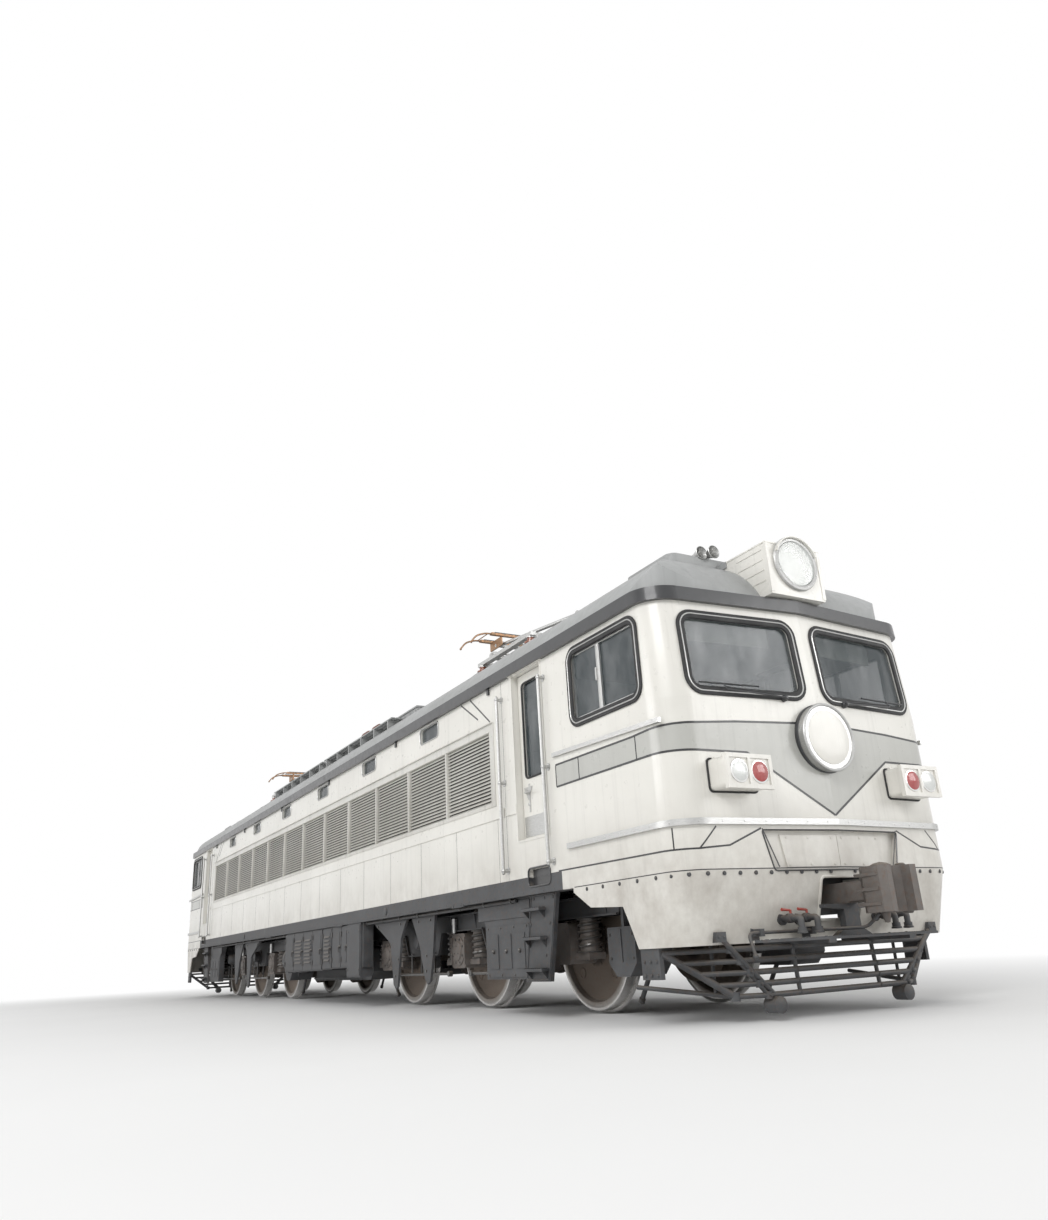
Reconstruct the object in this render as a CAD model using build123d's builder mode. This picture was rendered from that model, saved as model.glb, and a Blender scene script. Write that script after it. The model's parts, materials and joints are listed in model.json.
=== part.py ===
"""Six-axle electric locomotive with two cabs. Millimetres, +X towards the front cab, +Y left, +Z up."""

from build123d import *
import math
import os

# Wheels and bogies
tread_r = 625
flange_h = 28
axle_z = tread_r + flange_h
back_to_back = 1353
tyre_w = 140
tyre_t = 75
flange_w = 34
tread_fall = 4
wheel_hub = dict(r=150, past=20, boss=10)
wheel_web = dict(back=50, face=35, dish=10, lip=20)
flange_round = 8
collar_gap = 40
axle_r = 100
journal_r = 80
journal_end = 1120
journal_play = 10
bogie_x = 5350
axle_pitch = 2300
gear_r = 430
gear_y = 480
gear_w = 110

# Body in plan
half_w = 1553
nose_x = 10240
facet_slope = 0.087
corner_r = 280
wall_t = 60
cab_joint_x = 7330
sill_end_x = 8350
end_beam_x = 9700
end_beam_half = 50

# Body heights above the flange tips
sill_bottom = 1108
sill_top = 1268
floor_z = 1440
floor_t = 40
cab_floor_z = 1628
cab_floor_t = 40
waist_z = 2478
wall_top = 3458
top_lean = 70

# Underframe members
sill_w = 160
bearer_x = (0, 1100, 2150, 4200, 6500, 8550)
bearer_half = 60
bearer_z = 1260
stringer_y = (300, 420)
stringer_z = 1200

# Roof
roof_inset = 13
roof_top = 4028
crown_half = 1150
crown_r = 3600
roof_t = 50
roof_nose_r = 950
roof_corner_r = 520
roof_foot = 40
roof_lip = dict(x0=8850, x1=9600, half=900, z0=3800, z=4056, r=90)

# Side wall fittings
belt = dict(z0=1908, z1=1998, x=7240, proud=12)
louvre = dict(x=7125, z0=2048, z1=2948, bottom=40, top=90, end=70, depth=45)
slat = dict(front=12, back=40, t=8, lap=4)
slat_count = 20
bay_count = 12
upper_window = dict(w=560, z0=3120, z1=3310, r=60)
upper_window_x = (1080, 3240, 5400)
gutter = dict(z0=3338, z1=3458, proud=45)

# Cab openings
windscreen = dict(y0=153, y1=1271, z0=2563, z1=3194, r=90)
side_window = dict(x0=8740, x1=9765, z0=2574, z1=3220, r=80, split=9190)
seal_w = 62
seal_proud = 14
glass_t = 10
glass_inset = 22
fit_gap = 0.3
doorway = dict(x0=7570, x1=8170, z0=1628, z1=3330)
door_frame_w = 60
door_t = 40
door_recess = 70
door_gap = 5
door_lock_gap = 10
hinge_r = 14
hinge_h = 120
hinge_z = (1900, 3050)
hinge_x = doorway["x1"] + 2
handrail = dict(stand=60, r=18, foot_r=14, z0=1350, z1=3160)
handrail_x = (doorway["x0"] - 240, doorway["x1"] + 55)
handrail_foot_z = (1370, 2250, 3140)
door_window = dict(margin=95, z0=2240, z1=3230, r=50)
foothold = dict(x0=7730, x1=8150, z0=1178, z1=1350, depth=45, r=60)
ladder = dict(top0=7640, top1=8130, low0=7480, low1=7930, z=330, back=100, front=60)
ladder_step = dict(x0=7560, x1=7920, reach=20, t=25)
ladder_step_z = (420, 700, 960)
pane_overlap = 30
pane_gap = 2

# Inside the cabs
bulkhead = dict(gap=10, t=50)
floor_bearer = dict(half=40, x1=9950)
floor_bearer_y = (-900, 0, 900)
desk_outline = ((9500, 1628), (9850, 1628), (9980, 2450), (9420, 2380), (9420, 2330), (9500, 2310))
desk_half = 1250
seat = dict(x=8800, y=750, post_r=60, z=2000, t=120, half_l=240, half_w=230, back_half=220, r=20)
seat_back = ((8560, 2120), (8680, 2120), (8600, 2780), (8500, 2780))

# Nose fittings
moulding = dict(z0=1448, z1=1498, proud=30, x=8510)
waist_rail = dict(x0=8340, x1=10020, z0=2358, z1=2308, h=40, proud=28)
pocket = dict(z0=1093, z1=1408, top=783, bottom=704, depth=45)
disc = dict(r=290, z=2178, proud=72)
lamp_box = dict(y=1000, w=450, z0=1708, z1=1958, face_x=10360, r=35)
headlamp = dict(half=330, face_x=10250, z0=3480, z1=3985, tail_x=9600, lens_r=225, lens_z=3806, depth=60,
                rim=22)
apron_bottom = 568
apron_back = 170
apron_t = 20
apron_side = ((8530, 1068), (8790, 925), (9270, 900), (9370, 715), (9440, 568))
apron_opening = dict(half=230, z0=718, z1=1038, r=40)

# Rail guard bars: height, reach and half width of the middle run; their ends sweep back to the raked end tube
guard_bars = ((530, 9980, 1100), (445, 9988, 1020), (360, 9996, 940), (275, 10000, 860), (190, 10000, 780))
guard_end = dict(top=(9660, 1500, 530), low=(9870, 1000, 190), r=28, foot_r=36, foot_half=34)
guard_r = 22
swept_r = 20
post_r = 17
post_setback = 6
bend_collar = dict(r=29, half=27)
guard_strap = dict(y=450, half=40, z=540, t=26)
guard_bracket = dict(x0=9430, x1=9670, y=1495, z0=340, z1=600)
guard_brace = dict(x=10010, y=1200, z=620, low_y=720, low_z=190, r=20)
guard_foot = dict(r=62, x0=9930, x1=10060, z=118)
side_stay = dict(x=8950, y=1250, z=270, r=18, hanger_x=9700, hanger_r=14)
tread_plate = ((10110, -950), (10420, -760), (10420, 760), (10110, 950))
tread_plate_t = 20
carrier_outline = ((-290, 828), (-290, 802), (-85, 786), (-85, 650), (-200, 586), (200, 586), (85, 650),
                   (85, 786),
                   (290, 802), (290, 828))
carrier_x = (10180, 10240)

# Coupler
coupler_z = 908
coupler_face = 10800
shank = dict(w=130, h=160, x0=9900, x1=10520)
coupler_head = ((10480, -110), (10570, -190), (10740, -200), (coupler_face, -170), (coupler_face, -120),
                (10730, -60), (10690, 20), (10720, 80), (coupler_face, 90), (coupler_face, 160),
                (10740, 200), (10620, 200), (10480, 110))
coupler_head_h = 340
draft_box = dict(x0=9250, x1=9900, half=260, z0=760)

# Equipment under the floor; the boxes as x0, x1, z0, y0, y1
middle_boxes = ((-950, 1130, 500, 913, 1513), (1150, 1600, 512, 913, 1513), (1590, 2950, 522, 1370, 1513),
                (2350, 2910, 400, 1370, 1540))
hung_box = ((6330, 1108), (7640, 1108), (7560, 905), (7520, 880), (7520, 350), (6550, 350), (6550, 880),
            (6530, 905))
hung_box_y = (1345, 1440)
hanger_shapes = (((3050, 1108), (3760, 800), (3860, 300), (3940, 240), (4000, 280), (4120, 850),
                  (4350, 1108)),
                 ((4450, 1108), (4720, 750), (4880, 360), (4950, 300), (5030, 340), (5120, 620),
                  (5200, 1108)))
hanger_y = (1400, 1430)
reservoir = dict(x0=-1720, x1=-1000, y=1150, z=700, r=230, crown=70)
reservoir_strap_x = (-1560, -1260)
strap_half = 50
tank = dict(half_x=1350, half_y=850, z=330, r=60)

# Bogie
frame_y = 1060
frame_w = 150
frame_top = 1060
frame_web = 190
frame_past_axle = 950
frame_half = axle_pitch + frame_past_axle
frame_dip = dict(z=620, low_half=480, top_half=600)
box_half = 190
box_y0 = 900
box_y1 = 1200
box_r = 60
spring_r = 95
spring_dx = 330
spring_seat = 560
spring_wing = dict(past=110, half=90, t=60)
transom = dict(half=120, z0=860, z1=1050, centre_half=220, centre_t=90)
motor = dict(r=290, z=650, dx=620, half=300, case_half=90, nose_half=110, nose_z0=870, nose_z1=930)
tube_r = 150
bore_gap = 0.05
side_spring_r = 120
side_spring_x = (-1500, 1500)
pivot_r = 160
end_beam_dx = axle_pitch + 890
bogie_beam = dict(half=60, z0=910, z1=1030)
brake_shoe = dict(y0=715, y1=800, gap=8, t=57, reach=30, half_h=190)
brake_hanger = dict(y0=725, y1=780, dx=670, t=50, z=600, arm_z=890, end_arm_z=920, arm_t=60)
sand_box_clear = 105
sand_box_dx = axle_pitch + tread_r + sand_box_clear
sand_box = dict(dx0=sand_box_dx, dx1=sand_box_dx + 420, z0=348, z1=748, y0=740, y1=1130, slope=110)
sand_bracket = dict(t=40, y0=1000, y1=1120, z0=728, z1=1040)
sand_pipe = dict(r=22, y=770, dx=sand_box_dx + 130, z=388, low_dx=sand_box_dx - 70, low_z=110)

# Roof gear
hatch = dict(half_l=650, half_w=800, h=140)
hatch_x = (-2600, -900, 900, 2600)
insulator = dict(h=330, r=50, shed_r=85, shed_t=22, sheds=3)
busbar = dict(y=480, r=20, saddle_l=40, saddle_w=35)
busbar_post_x = (-3900, -1750, 0, 1750, 3900)
breaker = dict(y=-300, head_l=130, head_w=100, r=75, half=420, z=4500)
panto_x = 5100
panto_post_dx = (-250, 1100)
panto_post_y = 480
panto_beam = dict(x0=-330, x1=1180, half=40, t=50)
panto_bearing = dict(half=60, y0=400, y1=470, top=65)
panto_pivot_z = 4420
arm_len = 1700
arm_rest = 3.0
arm_rest_r = 30
arm_rest_drop = 47
shaft_r = 38
knee_half = 80
knuckle_end = 145
knuckle_r = 35
knuckle_gap = 2
pin_r = 20
lower_tube = dict(r0=55, r1=40, short=30)
upper_tube = dict(r0=28, r1=22, y0=115, y1=350, eye_r=45)
top_pin_r = 24
top_pin_past = 22
head_y = 380
head_z = 110
head_plate = dict(t=20, drop=45)
strip = dict(half=560, half_w=25, t=30)
strip_gap = 330

os.makedirs("parts", exist_ok=True)


def save(part, name):
    part.label = name
    export_step(part, f"parts/{name}.step")


def plan_face(z, inset, nose, back, radius=corner_r):
    """Plan of one end: straight sides, two facets that meet on the centreline, rounded corners."""
    half = half_w - inset
    ridge = nose - inset
    shoulder = ridge - facet_slope * half
    with BuildSketch(Plane.XY.offset(z)) as plan:
        Polygon((back, -half), (shoulder, -half), (ridge, 0), (shoulder, half), (back, half), align=None)
        corners = [v for v in plan.vertices() if abs(v.X - shoulder) < 1]
        fillet(corners, max(radius - inset, 5))
    return plan.sketch.face()


def end_form(inset, levels, back):
    """Solid of one end's outer form, moved inwards by inset, through levels of (height, nose)."""
    with BuildPart() as form:
        loft([plan_face(z, inset, nose, back) for z, nose in levels], ruled=True)
    return form.part


def plan_prism(z0, z1, inset, nose, back, radius=corner_r):
    """Upright block with the plan of one end."""
    with BuildPart() as block:
        extrude(plan_face(z0, inset, nose, back, radius), amount=z1 - z0, dir=(0, 0, 1))
    return block.part


cab_levels = ((sill_bottom, nose_x), (waist_z, nose_x), (wall_top, nose_x - top_lean))
apron_levels = ((apron_bottom, nose_x - apron_back), (sill_bottom, nose_x))


def slab_x(x0, x1, y0, y1, z0, z1):
    """Plain plate or beam between two corners."""
    with BuildPart() as slab:
        with BuildSketch(Plane.XY.offset(z0)):
            with Locations(((x0 + x1) / 2, (y0 + y1) / 2)):
                Rectangle(x1 - x0, y1 - y0)
        extrude(amount=z1 - z0)
    return slab.part


def prism_y(points, y0, y1, radius=0):
    """Outline in X and Z, drawn through from y0 to y1, with rounded corners where radius is set."""
    with BuildPart() as prism:
        with BuildSketch(Plane.XZ.offset(-y1)) as outline:
            Polygon(*points, align=None)
            if radius:
                fillet(outline.vertices(), radius)
        extrude(amount=y1 - y0)
    return prism.part


def prism_x(points, x0, x1, radius=0):
    """Outline in Y and Z, drawn through from x0 to x1."""
    with BuildPart() as prism:
        with BuildSketch(Plane.YZ.offset(x0)) as outline:
            Polygon(*points, align=None)
            if radius:
                fillet(outline.vertices(), radius)
        extrude(amount=x1 - x0)
    return prism.part


def box_points(a0, a1, b0, b1):
    return (a0, b0), (a1, b0), (a1, b1), (a0, b1)


def rod(start, end, radius, end_radius=None):
    """Round bar between two points, tapered where a second radius is given."""
    axis = Vector(*end) - Vector(*start)
    with BuildPart() as bar:
        with BuildSketch(Plane(origin=start, z_dir=axis)):
            Circle(radius)
        if end_radius is None:
            extrude(amount=axis.length)
        else:
            with BuildSketch(Plane(origin=end, z_dir=axis)):
                Circle(end_radius)
            loft()
    return bar.part


# Underframe: floor, side sills, stringers, cross bearers, bogie pivots and draft gear boxes
with BuildPart() as underframe:
    add(plan_prism(floor_z - floor_t, floor_z, wall_t, nose_x, 0))
    for side in (-1, 1):
        web = sorted((side * (half_w - wall_t), side * (half_w - sill_w)))
        foot = sorted((side * half_w, side * (half_w - sill_w)))
        add(slab_x(0, end_beam_x, *web, sill_bottom, floor_z - floor_t))
        add(slab_x(0, sill_end_x, *foot, sill_bottom, sill_top))
        stringer = sorted((side * stringer_y[0], side * stringer_y[1]))
        add(slab_x(0, draft_box["x1"], *stringer, stringer_z, floor_z - floor_t))
    for x in bearer_x:
        add(slab_x(max(x - bearer_half, 0), x + bearer_half, -half_w + sill_w, half_w - sill_w,
                   bearer_z, floor_z - floor_t))
    add(slab_x(end_beam_x - end_beam_half, end_beam_x + end_beam_half, -half_w + sill_w, half_w - sill_w,
               sill_bottom, floor_z - floor_t))
    add(slab_x(draft_box["x0"], draft_box["x1"], -draft_box["half"], draft_box["half"], draft_box["z0"],
               floor_z))
    add(rod((bogie_x, 0, transom["z1"] + fit_gap), (bogie_x, 0, floor_z - floor_t), pivot_r))
    for side in (-1, 1):
        add(prism_y(box_points(foothold["x0"], foothold["x1"], foothold["z0"], foothold["z1"]),
                    *sorted((side * (half_w + 1), side * (half_w - foothold["depth"]))), foothold["r"]),
            mode=Mode.SUBTRACT)
    mirror(about=Plane.YZ)
save(underframe.part, "underframe")

# Side walls with the belt strip, the louvre opening and the upper windows
with BuildPart() as side_wall_left:
    add(slab_x(-cab_joint_x, cab_joint_x, half_w - wall_t, half_w, sill_top, wall_top))
    add(slab_x(-belt["x"], belt["x"], half_w, half_w + belt["proud"], belt["z0"], belt["z1"]))
    add(prism_y(box_points(-louvre["x"], louvre["x"], louvre["z0"], louvre["z1"]), half_w - wall_t - 1,
                half_w + 1),
        mode=Mode.SUBTRACT)
    for x in upper_window_x:
        for end in (-1, 1):
            a = end * x - upper_window["w"] / 2
            add(prism_y(box_points(a, a + upper_window["w"], upper_window["z0"], upper_window["z1"]),
                        half_w - wall_t - 1, half_w + 1, upper_window["r"]), mode=Mode.SUBTRACT)
save(side_wall_left.part, "side_wall_left")
with BuildPart() as side_wall_right:
    mirror(side_wall_left.part, about=Plane.XZ)
save(side_wall_right.part, "side_wall_right")

# Louvre panels: a frame, upright ribs and long slats that shed water outwards
slat_pitch = (louvre["z1"] - louvre["top"] - louvre["z0"] - louvre["bottom"]) / slat_count
inner_x = louvre["x"] - louvre["end"]
with BuildPart() as louvre_panels:
    add(prism_y(box_points(-louvre["x"], louvre["x"], louvre["z0"], louvre["z1"]),
                half_w - louvre["depth"], half_w + 8))
    add(prism_y(box_points(-inner_x, inner_x, louvre["z0"] + louvre["bottom"], louvre["z1"] - louvre["top"]),
                half_w - louvre["depth"] - 1, half_w + 9), mode=Mode.SUBTRACT)
    for n in range(slat_count):
        z = louvre["z0"] + louvre["bottom"] + n * slat_pitch
        with BuildSketch(Plane.YZ.offset(-inner_x)):
            slat_z = z + slat_pitch - slat["lap"]
            Polygon((half_w - slat["front"], z), (half_w - slat["back"], slat_z),
                    (half_w - slat["back"], slat_z - slat["t"]),
                    (half_w - slat["front"] - slat["t"], z), align=None)
        extrude(amount=2 * inner_x)
    for n in range(bay_count + 1):
        x = -inner_x + n * 2 * inner_x / bay_count
        add(slab_x(max(x - 20, -inner_x), min(x + 20, inner_x), half_w - louvre["depth"], half_w - 6,
                   louvre["z0"] + louvre["bottom"], louvre["z1"] - louvre["top"]))
    mirror(about=Plane.XZ)
save(louvre_panels.part, "louvre_panels")

# Glass of the small upper windows
with BuildPart() as upper_windows:
    for x in upper_window_x:
        for end in (-1, 1):
            a = end * x - upper_window["w"] / 2
            add(prism_y(box_points(a + fit_gap, a + upper_window["w"] - fit_gap,
                                   upper_window["z0"] + fit_gap, upper_window["z1"] - fit_gap),
                        half_w - 40, half_w - 40 + glass_t, upper_window["r"]))
    mirror(about=Plane.XZ)
save(upper_windows.part, "upper_windows")


def roof_form(inset, x0, x1):
    """Roof from x0 to x1: flat crown arc with tighter shoulders, moved inwards by inset."""
    half = half_w - roof_inset - inset
    top = roof_top - inset
    crown = crown_half - inset
    drop = crown_r - math.sqrt(crown_r**2 - crown**2)
    slope = crown / math.sqrt(crown_r**2 - crown**2)
    with BuildPart() as form:
        with BuildSketch(Plane.YZ.offset(x0)):
            with BuildLine():
                ThreePointArc((-crown, top - drop), (0, top), (crown, top - drop))
                TangentArc((crown, top - drop), (half, wall_top), tangent=(1, -slope))
                Line((half, wall_top), (-half, wall_top))
                TangentArc((-crown, top - drop), (-half, wall_top), tangent=(-1, -slope))
            make_face()
        extrude(amount=x1 - x0)
    return form.part


def roof_end_form(inset, back):
    """Roof over the cab: the roof's section, rounded down to the nose and cut to the end's plan."""
    top = roof_top - inset
    foot_x = nose_x - top_lean - roof_inset - inset - roof_foot
    rise = top - wall_top
    run = math.sqrt(roof_nose_r**2 - (roof_nose_r - rise) ** 2)
    mid = run / 2
    mid_z = top - roof_nose_r + math.sqrt(roof_nose_r**2 - mid**2)
    with BuildPart() as form:
        add(roof_form(inset, back, nose_x))
        with BuildSketch(Plane.XZ):
            with BuildLine():
                Line((back, wall_top), (foot_x, wall_top))
                ThreePointArc((foot_x, wall_top), (foot_x - run + mid, mid_z), (foot_x - run, top))
                Line((foot_x - run, top), (back, top))
                Line((back, top), (back, wall_top))
            make_face()
        extrude(amount=half_w, both=True, mode=Mode.INTERSECT)
        add(plan_prism(wall_top - 1, roof_top + 1, inset + 5, nose_x - top_lean - roof_inset, back - 1,
                       roof_corner_r),
            mode=Mode.INTERSECT)
    return form.part


def insulator_post(x, y, z1):
    """Ribbed post from under the roof's surface up to z1."""
    z0 = roof_top - 80
    first = roof_top + 50
    pitch = (z1 - first) / insulator["sheds"]
    with BuildPart() as post:
        add(rod((x, y, z0), (x, y, z1), insulator["r"]))
        for n in range(insulator["sheds"]):
            z = first + n * pitch
            add(rod((x, y, z), (x, y, z + insulator["shed_t"]), insulator["shed_r"]))
    return post.part


# Roof over the machine room, and over each cab
with BuildPart() as roof_middle:
    add(roof_form(0, -cab_joint_x, cab_joint_x))
    add(roof_form(roof_t, -cab_joint_x - 1, cab_joint_x + 1), mode=Mode.SUBTRACT)
save(roof_middle.part, "roof_middle")
with BuildPart() as roof_end_front:
    add(roof_end_form(0, cab_joint_x))
    add(roof_end_form(roof_t, cab_joint_x - 1), mode=Mode.SUBTRACT)
save(roof_end_front.part, "roof_end_front")
with BuildPart() as roof_end_rear:
    mirror(roof_end_front.part, about=Plane.YZ)
save(roof_end_rear.part, "roof_end_rear")

# Gutter: a shallow channel that runs round the whole roof edge
with BuildPart() as gutter_rail:
    add(end_form(-gutter["proud"], cab_levels, 0))
    add(end_form(0, cab_levels, -1), mode=Mode.SUBTRACT)
    split(bisect_by=Plane.XY.offset(gutter["z0"]), keep=Keep.TOP)
    mirror(about=Plane.YZ)
save(gutter_rail.part, "gutter")


def windscreen_prism(side, grow, x0, x1):
    """Windscreen outline on one side of the nose, grown all round."""
    y = sorted((side * (windscreen["y0"] - grow), side * (windscreen["y1"] + grow)))
    return prism_x(box_points(*y, windscreen["z0"] - grow, windscreen["z1"] + grow), x0, x1,
                   windscreen["r"] + grow)


def side_window_prism(grow, y0, y1):
    """Side window outline, grown all round."""
    return prism_y(box_points(side_window["x0"] - grow, side_window["x1"] + grow,
                              side_window["z0"] - grow, side_window["z1"] + grow),
                   y0, y1, side_window["r"] + grow)


def pocket_cut():
    """Shallow pocket in the nose over the coupler, following the facets."""
    outline = ((-pocket["bottom"], pocket["z0"]), (pocket["bottom"], pocket["z0"]),
               (pocket["top"], pocket["z1"]), (-pocket["top"], pocket["z1"]))
    with BuildPart() as cut:
        add(prism_x(outline, nose_x - 400, nose_x + 1, 25))
        add(end_form(pocket["depth"], cab_levels, cab_joint_x), mode=Mode.SUBTRACT)
    return cut.part


# Cab shell: hollow end with windscreens, side windows, doorways, footholds and the coupler pocket
with BuildPart() as cab_shell_front:
    add(end_form(0, cab_levels, cab_joint_x))
    add(slab_x(cab_joint_x - 1, sill_end_x, -half_w - 1, half_w + 1, sill_bottom - 1, sill_top),
        mode=Mode.SUBTRACT)
    add(end_form(wall_t, ((sill_bottom - 1, nose_x), (waist_z, nose_x), (wall_top + 1, nose_x - top_lean)),
                 cab_joint_x - 1), mode=Mode.SUBTRACT)
    frame_y1 = half_w - wall_t
    for side in (-1, 1):
        add(prism_y(box_points(doorway["x0"] - door_frame_w, doorway["x1"] + door_frame_w,
                               doorway["z0"], doorway["z1"] + door_frame_w),
                    *sorted((side * frame_y1, side * (frame_y1 - door_frame_w)))))
    add(prism_y(box_points(doorway["x0"], doorway["x1"], doorway["z0"], doorway["z1"]), -half_w - 1,
                half_w + 1),
        mode=Mode.SUBTRACT)
    add(side_window_prism(0, -half_w - 1, half_w + 1), mode=Mode.SUBTRACT)
    for side in (-1, 1):
        add(windscreen_prism(side, 0, 9700, nose_x + 1), mode=Mode.SUBTRACT)
        add(prism_y(box_points(foothold["x0"], foothold["x1"], foothold["z0"], foothold["z1"]),
                    *sorted((side * (half_w + 1), side * (half_w - foothold["depth"]))), foothold["r"]),
            mode=Mode.SUBTRACT)
    add(pocket_cut(), mode=Mode.SUBTRACT)
save(cab_shell_front.part, "cab_shell_front")
with BuildPart() as cab_shell_rear:
    mirror(cab_shell_front.part, about=Plane.YZ)
save(cab_shell_rear.part, "cab_shell_rear")


def screen_glass(side):
    """Flat windscreen pane that lies in the depth of the shell."""
    with BuildPart() as screen:
        add(end_form(glass_inset, cab_levels, cab_joint_x))
        add(end_form(glass_inset + glass_t, cab_levels, cab_joint_x), mode=Mode.SUBTRACT)
        add(windscreen_prism(side, -fit_gap, 9700, nose_x + 1), mode=Mode.INTERSECT)
    return screen.part


def side_pane(side, depth, x0, x1):
    """One sliding pane of a side window."""
    y = sorted((side * (half_w - depth), side * (half_w - depth - glass_t)))
    with BuildPart() as pane:
        add(side_window_prism(-fit_gap, *y))
        add(slab_x(x0, x1, *y, side_window["z0"], side_window["z1"]), mode=Mode.INTERSECT)
    return pane.part


# Cab glass: windscreens and two sliding panes on each side
split_x = side_window["split"]
with BuildPart() as cab_glass:
    for side in (-1, 1):
        add(screen_glass(side))
        add(side_pane(side, glass_inset, side_window["x0"], split_x + pane_overlap))
        add(side_pane(side, glass_inset + glass_t + pane_gap, split_x - pane_overlap, side_window["x1"]))
    mirror(about=Plane.YZ)
save(cab_glass.part, "cab_glass")


def screen_seal(side):
    """Rubber ring proud of the nose round one windscreen."""
    with BuildPart() as ring:
        add(windscreen_prism(side, seal_w, 9700, nose_x + 100))
        add(windscreen_prism(side, 0, 9600, nose_x + 200), mode=Mode.SUBTRACT)
        add(end_form(-seal_proud, cab_levels, cab_joint_x), mode=Mode.INTERSECT)
        add(end_form(0, cab_levels, cab_joint_x), mode=Mode.SUBTRACT)
    return ring.part


def side_seal(side):
    """Rubber ring proud of the cab side round one window."""
    y = sorted((side * half_w, side * (half_w + seal_proud)))
    with BuildPart() as ring:
        add(side_window_prism(seal_w, *y))
        add(side_window_prism(0, y[0] - 1, y[1] + 1), mode=Mode.SUBTRACT)
    return ring.part


# Rubber seals round the windscreens and the side windows
with BuildPart() as window_seals:
    for side in (-1, 1):
        add(screen_seal(side))
        add(side_seal(side))
    mirror(about=Plane.YZ)
save(window_seals.part, "window_seals")


def nose_band(proud, x0, z0, z1):
    """Strip of even height that runs round the nose and back along both cab sides."""
    with BuildPart() as band:
        add(end_form(-proud, cab_levels, x0))
        add(end_form(0, cab_levels, x0 - 1), mode=Mode.SUBTRACT)
        add(slab_x(x0, nose_x + 100, -half_w - 100, half_w + 100, z0, z1), mode=Mode.INTERSECT)
    return band.part


# Moulding round the nose and the grab strip under each side window
with BuildPart() as nose_mouldings:
    add(nose_band(moulding["proud"], moulding["x"], moulding["z0"], moulding["z1"]))
    for side in (-1, 1):
        add(prism_y(((waist_rail["x0"], waist_rail["z0"] - waist_rail["h"]),
                     (waist_rail["x1"], waist_rail["z1"] - waist_rail["h"]),
                     (waist_rail["x1"], waist_rail["z1"]), (waist_rail["x0"], waist_rail["z0"])),
                    *sorted((side * half_w, side * (half_w + waist_rail["proud"])))))
    mirror(about=Plane.YZ)
save(nose_mouldings.part, "nose_mouldings")

# Bare round disc on the nose
with BuildPart() as nose_discs:
    with BuildSketch(Plane.YZ.offset(nose_x - 200)):
        with Locations((0, disc["z"])):
            Circle(disc["r"])
    extrude(amount=200 + disc["proud"])
    add(end_form(0, cab_levels, cab_joint_x), mode=Mode.SUBTRACT)
    mirror(about=Plane.YZ)
save(nose_discs.part, "nose_discs")

# Marker lamp boxes
with BuildPart() as marker_lamps:
    for side in (-1, 1):
        y = side * lamp_box["y"]
        add(prism_x(box_points(y - lamp_box["w"] / 2, y + lamp_box["w"] / 2, lamp_box["z0"], lamp_box["z1"]),
                    nose_x - 300, lamp_box["face_x"], lamp_box["r"]))
    add(end_form(0, cab_levels, cab_joint_x), mode=Mode.SUBTRACT)
    mirror(about=Plane.YZ)
save(marker_lamps.part, "marker_lamps")

# Headlamp housing on the roof end, with a round rim for its lens
with BuildPart() as headlamps:
    face = headlamp["face_x"]
    add(prism_y(box_points(headlamp["tail_x"], face, headlamp["z0"], headlamp["z1"]),
                -headlamp["half"], headlamp["half"]))
    lens = (0, headlamp["lens_z"])
    add(rod((face - 3 * headlamp["depth"], *lens), (face, *lens), headlamp["lens_r"] + headlamp["rim"]))
    add(roof_end_form(0, cab_joint_x), mode=Mode.SUBTRACT)
    add(rod((face - headlamp["depth"], *lens), (face + 1, *lens), headlamp["lens_r"]), mode=Mode.SUBTRACT)
    mirror(about=Plane.YZ)
save(headlamps.part, "headlamps")
with BuildPart() as headlamp_lenses:
    add(rod((face - headlamp["depth"], *lens), (face + 15, *lens), headlamp["lens_r"] - fit_gap))
    mirror(about=Plane.YZ)
save(headlamp_lenses.part, "headlamp_lenses")

# Handrails beside the doors, stood off the wall on short feet
with BuildPart() as door_handrails:
    for x in handrail_x:
        y = half_w + handrail["stand"]
        add(rod((x, y, handrail["z0"]), (x, y, handrail["z1"]), handrail["r"]))
        for z in handrail_foot_z:
            add(rod((x, half_w, z), (x, y, z), handrail["foot_r"]))
    mirror(about=Plane.XZ)
    mirror(about=Plane.YZ)
save(door_handrails.part, "door_handrails")

# Aprons under each end, with the curved side cut and the coupler opening
with BuildPart() as aprons:
    add(end_form(0, apron_levels, apron_side[0][0]))
    add(end_form(apron_t, ((apron_bottom - 1, nose_x - apron_back), (sill_bottom + 1, nose_x)), 8000),
        mode=Mode.SUBTRACT)
    side_cut = ((8000, sill_bottom - 30), *apron_side, (apron_side[-1][0], apron_bottom - 50),
                (8000, apron_bottom - 50))
    add(prism_y(side_cut, -half_w - 1, half_w + 1), mode=Mode.SUBTRACT)
    add(prism_x(box_points(-apron_opening["half"], apron_opening["half"], apron_opening["z0"],
                           apron_opening["z1"]),
                9900, nose_x + 1, apron_opening["r"]), mode=Mode.SUBTRACT)
    mirror(about=Plane.YZ)
save(aprons.part, "aprons")

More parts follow.
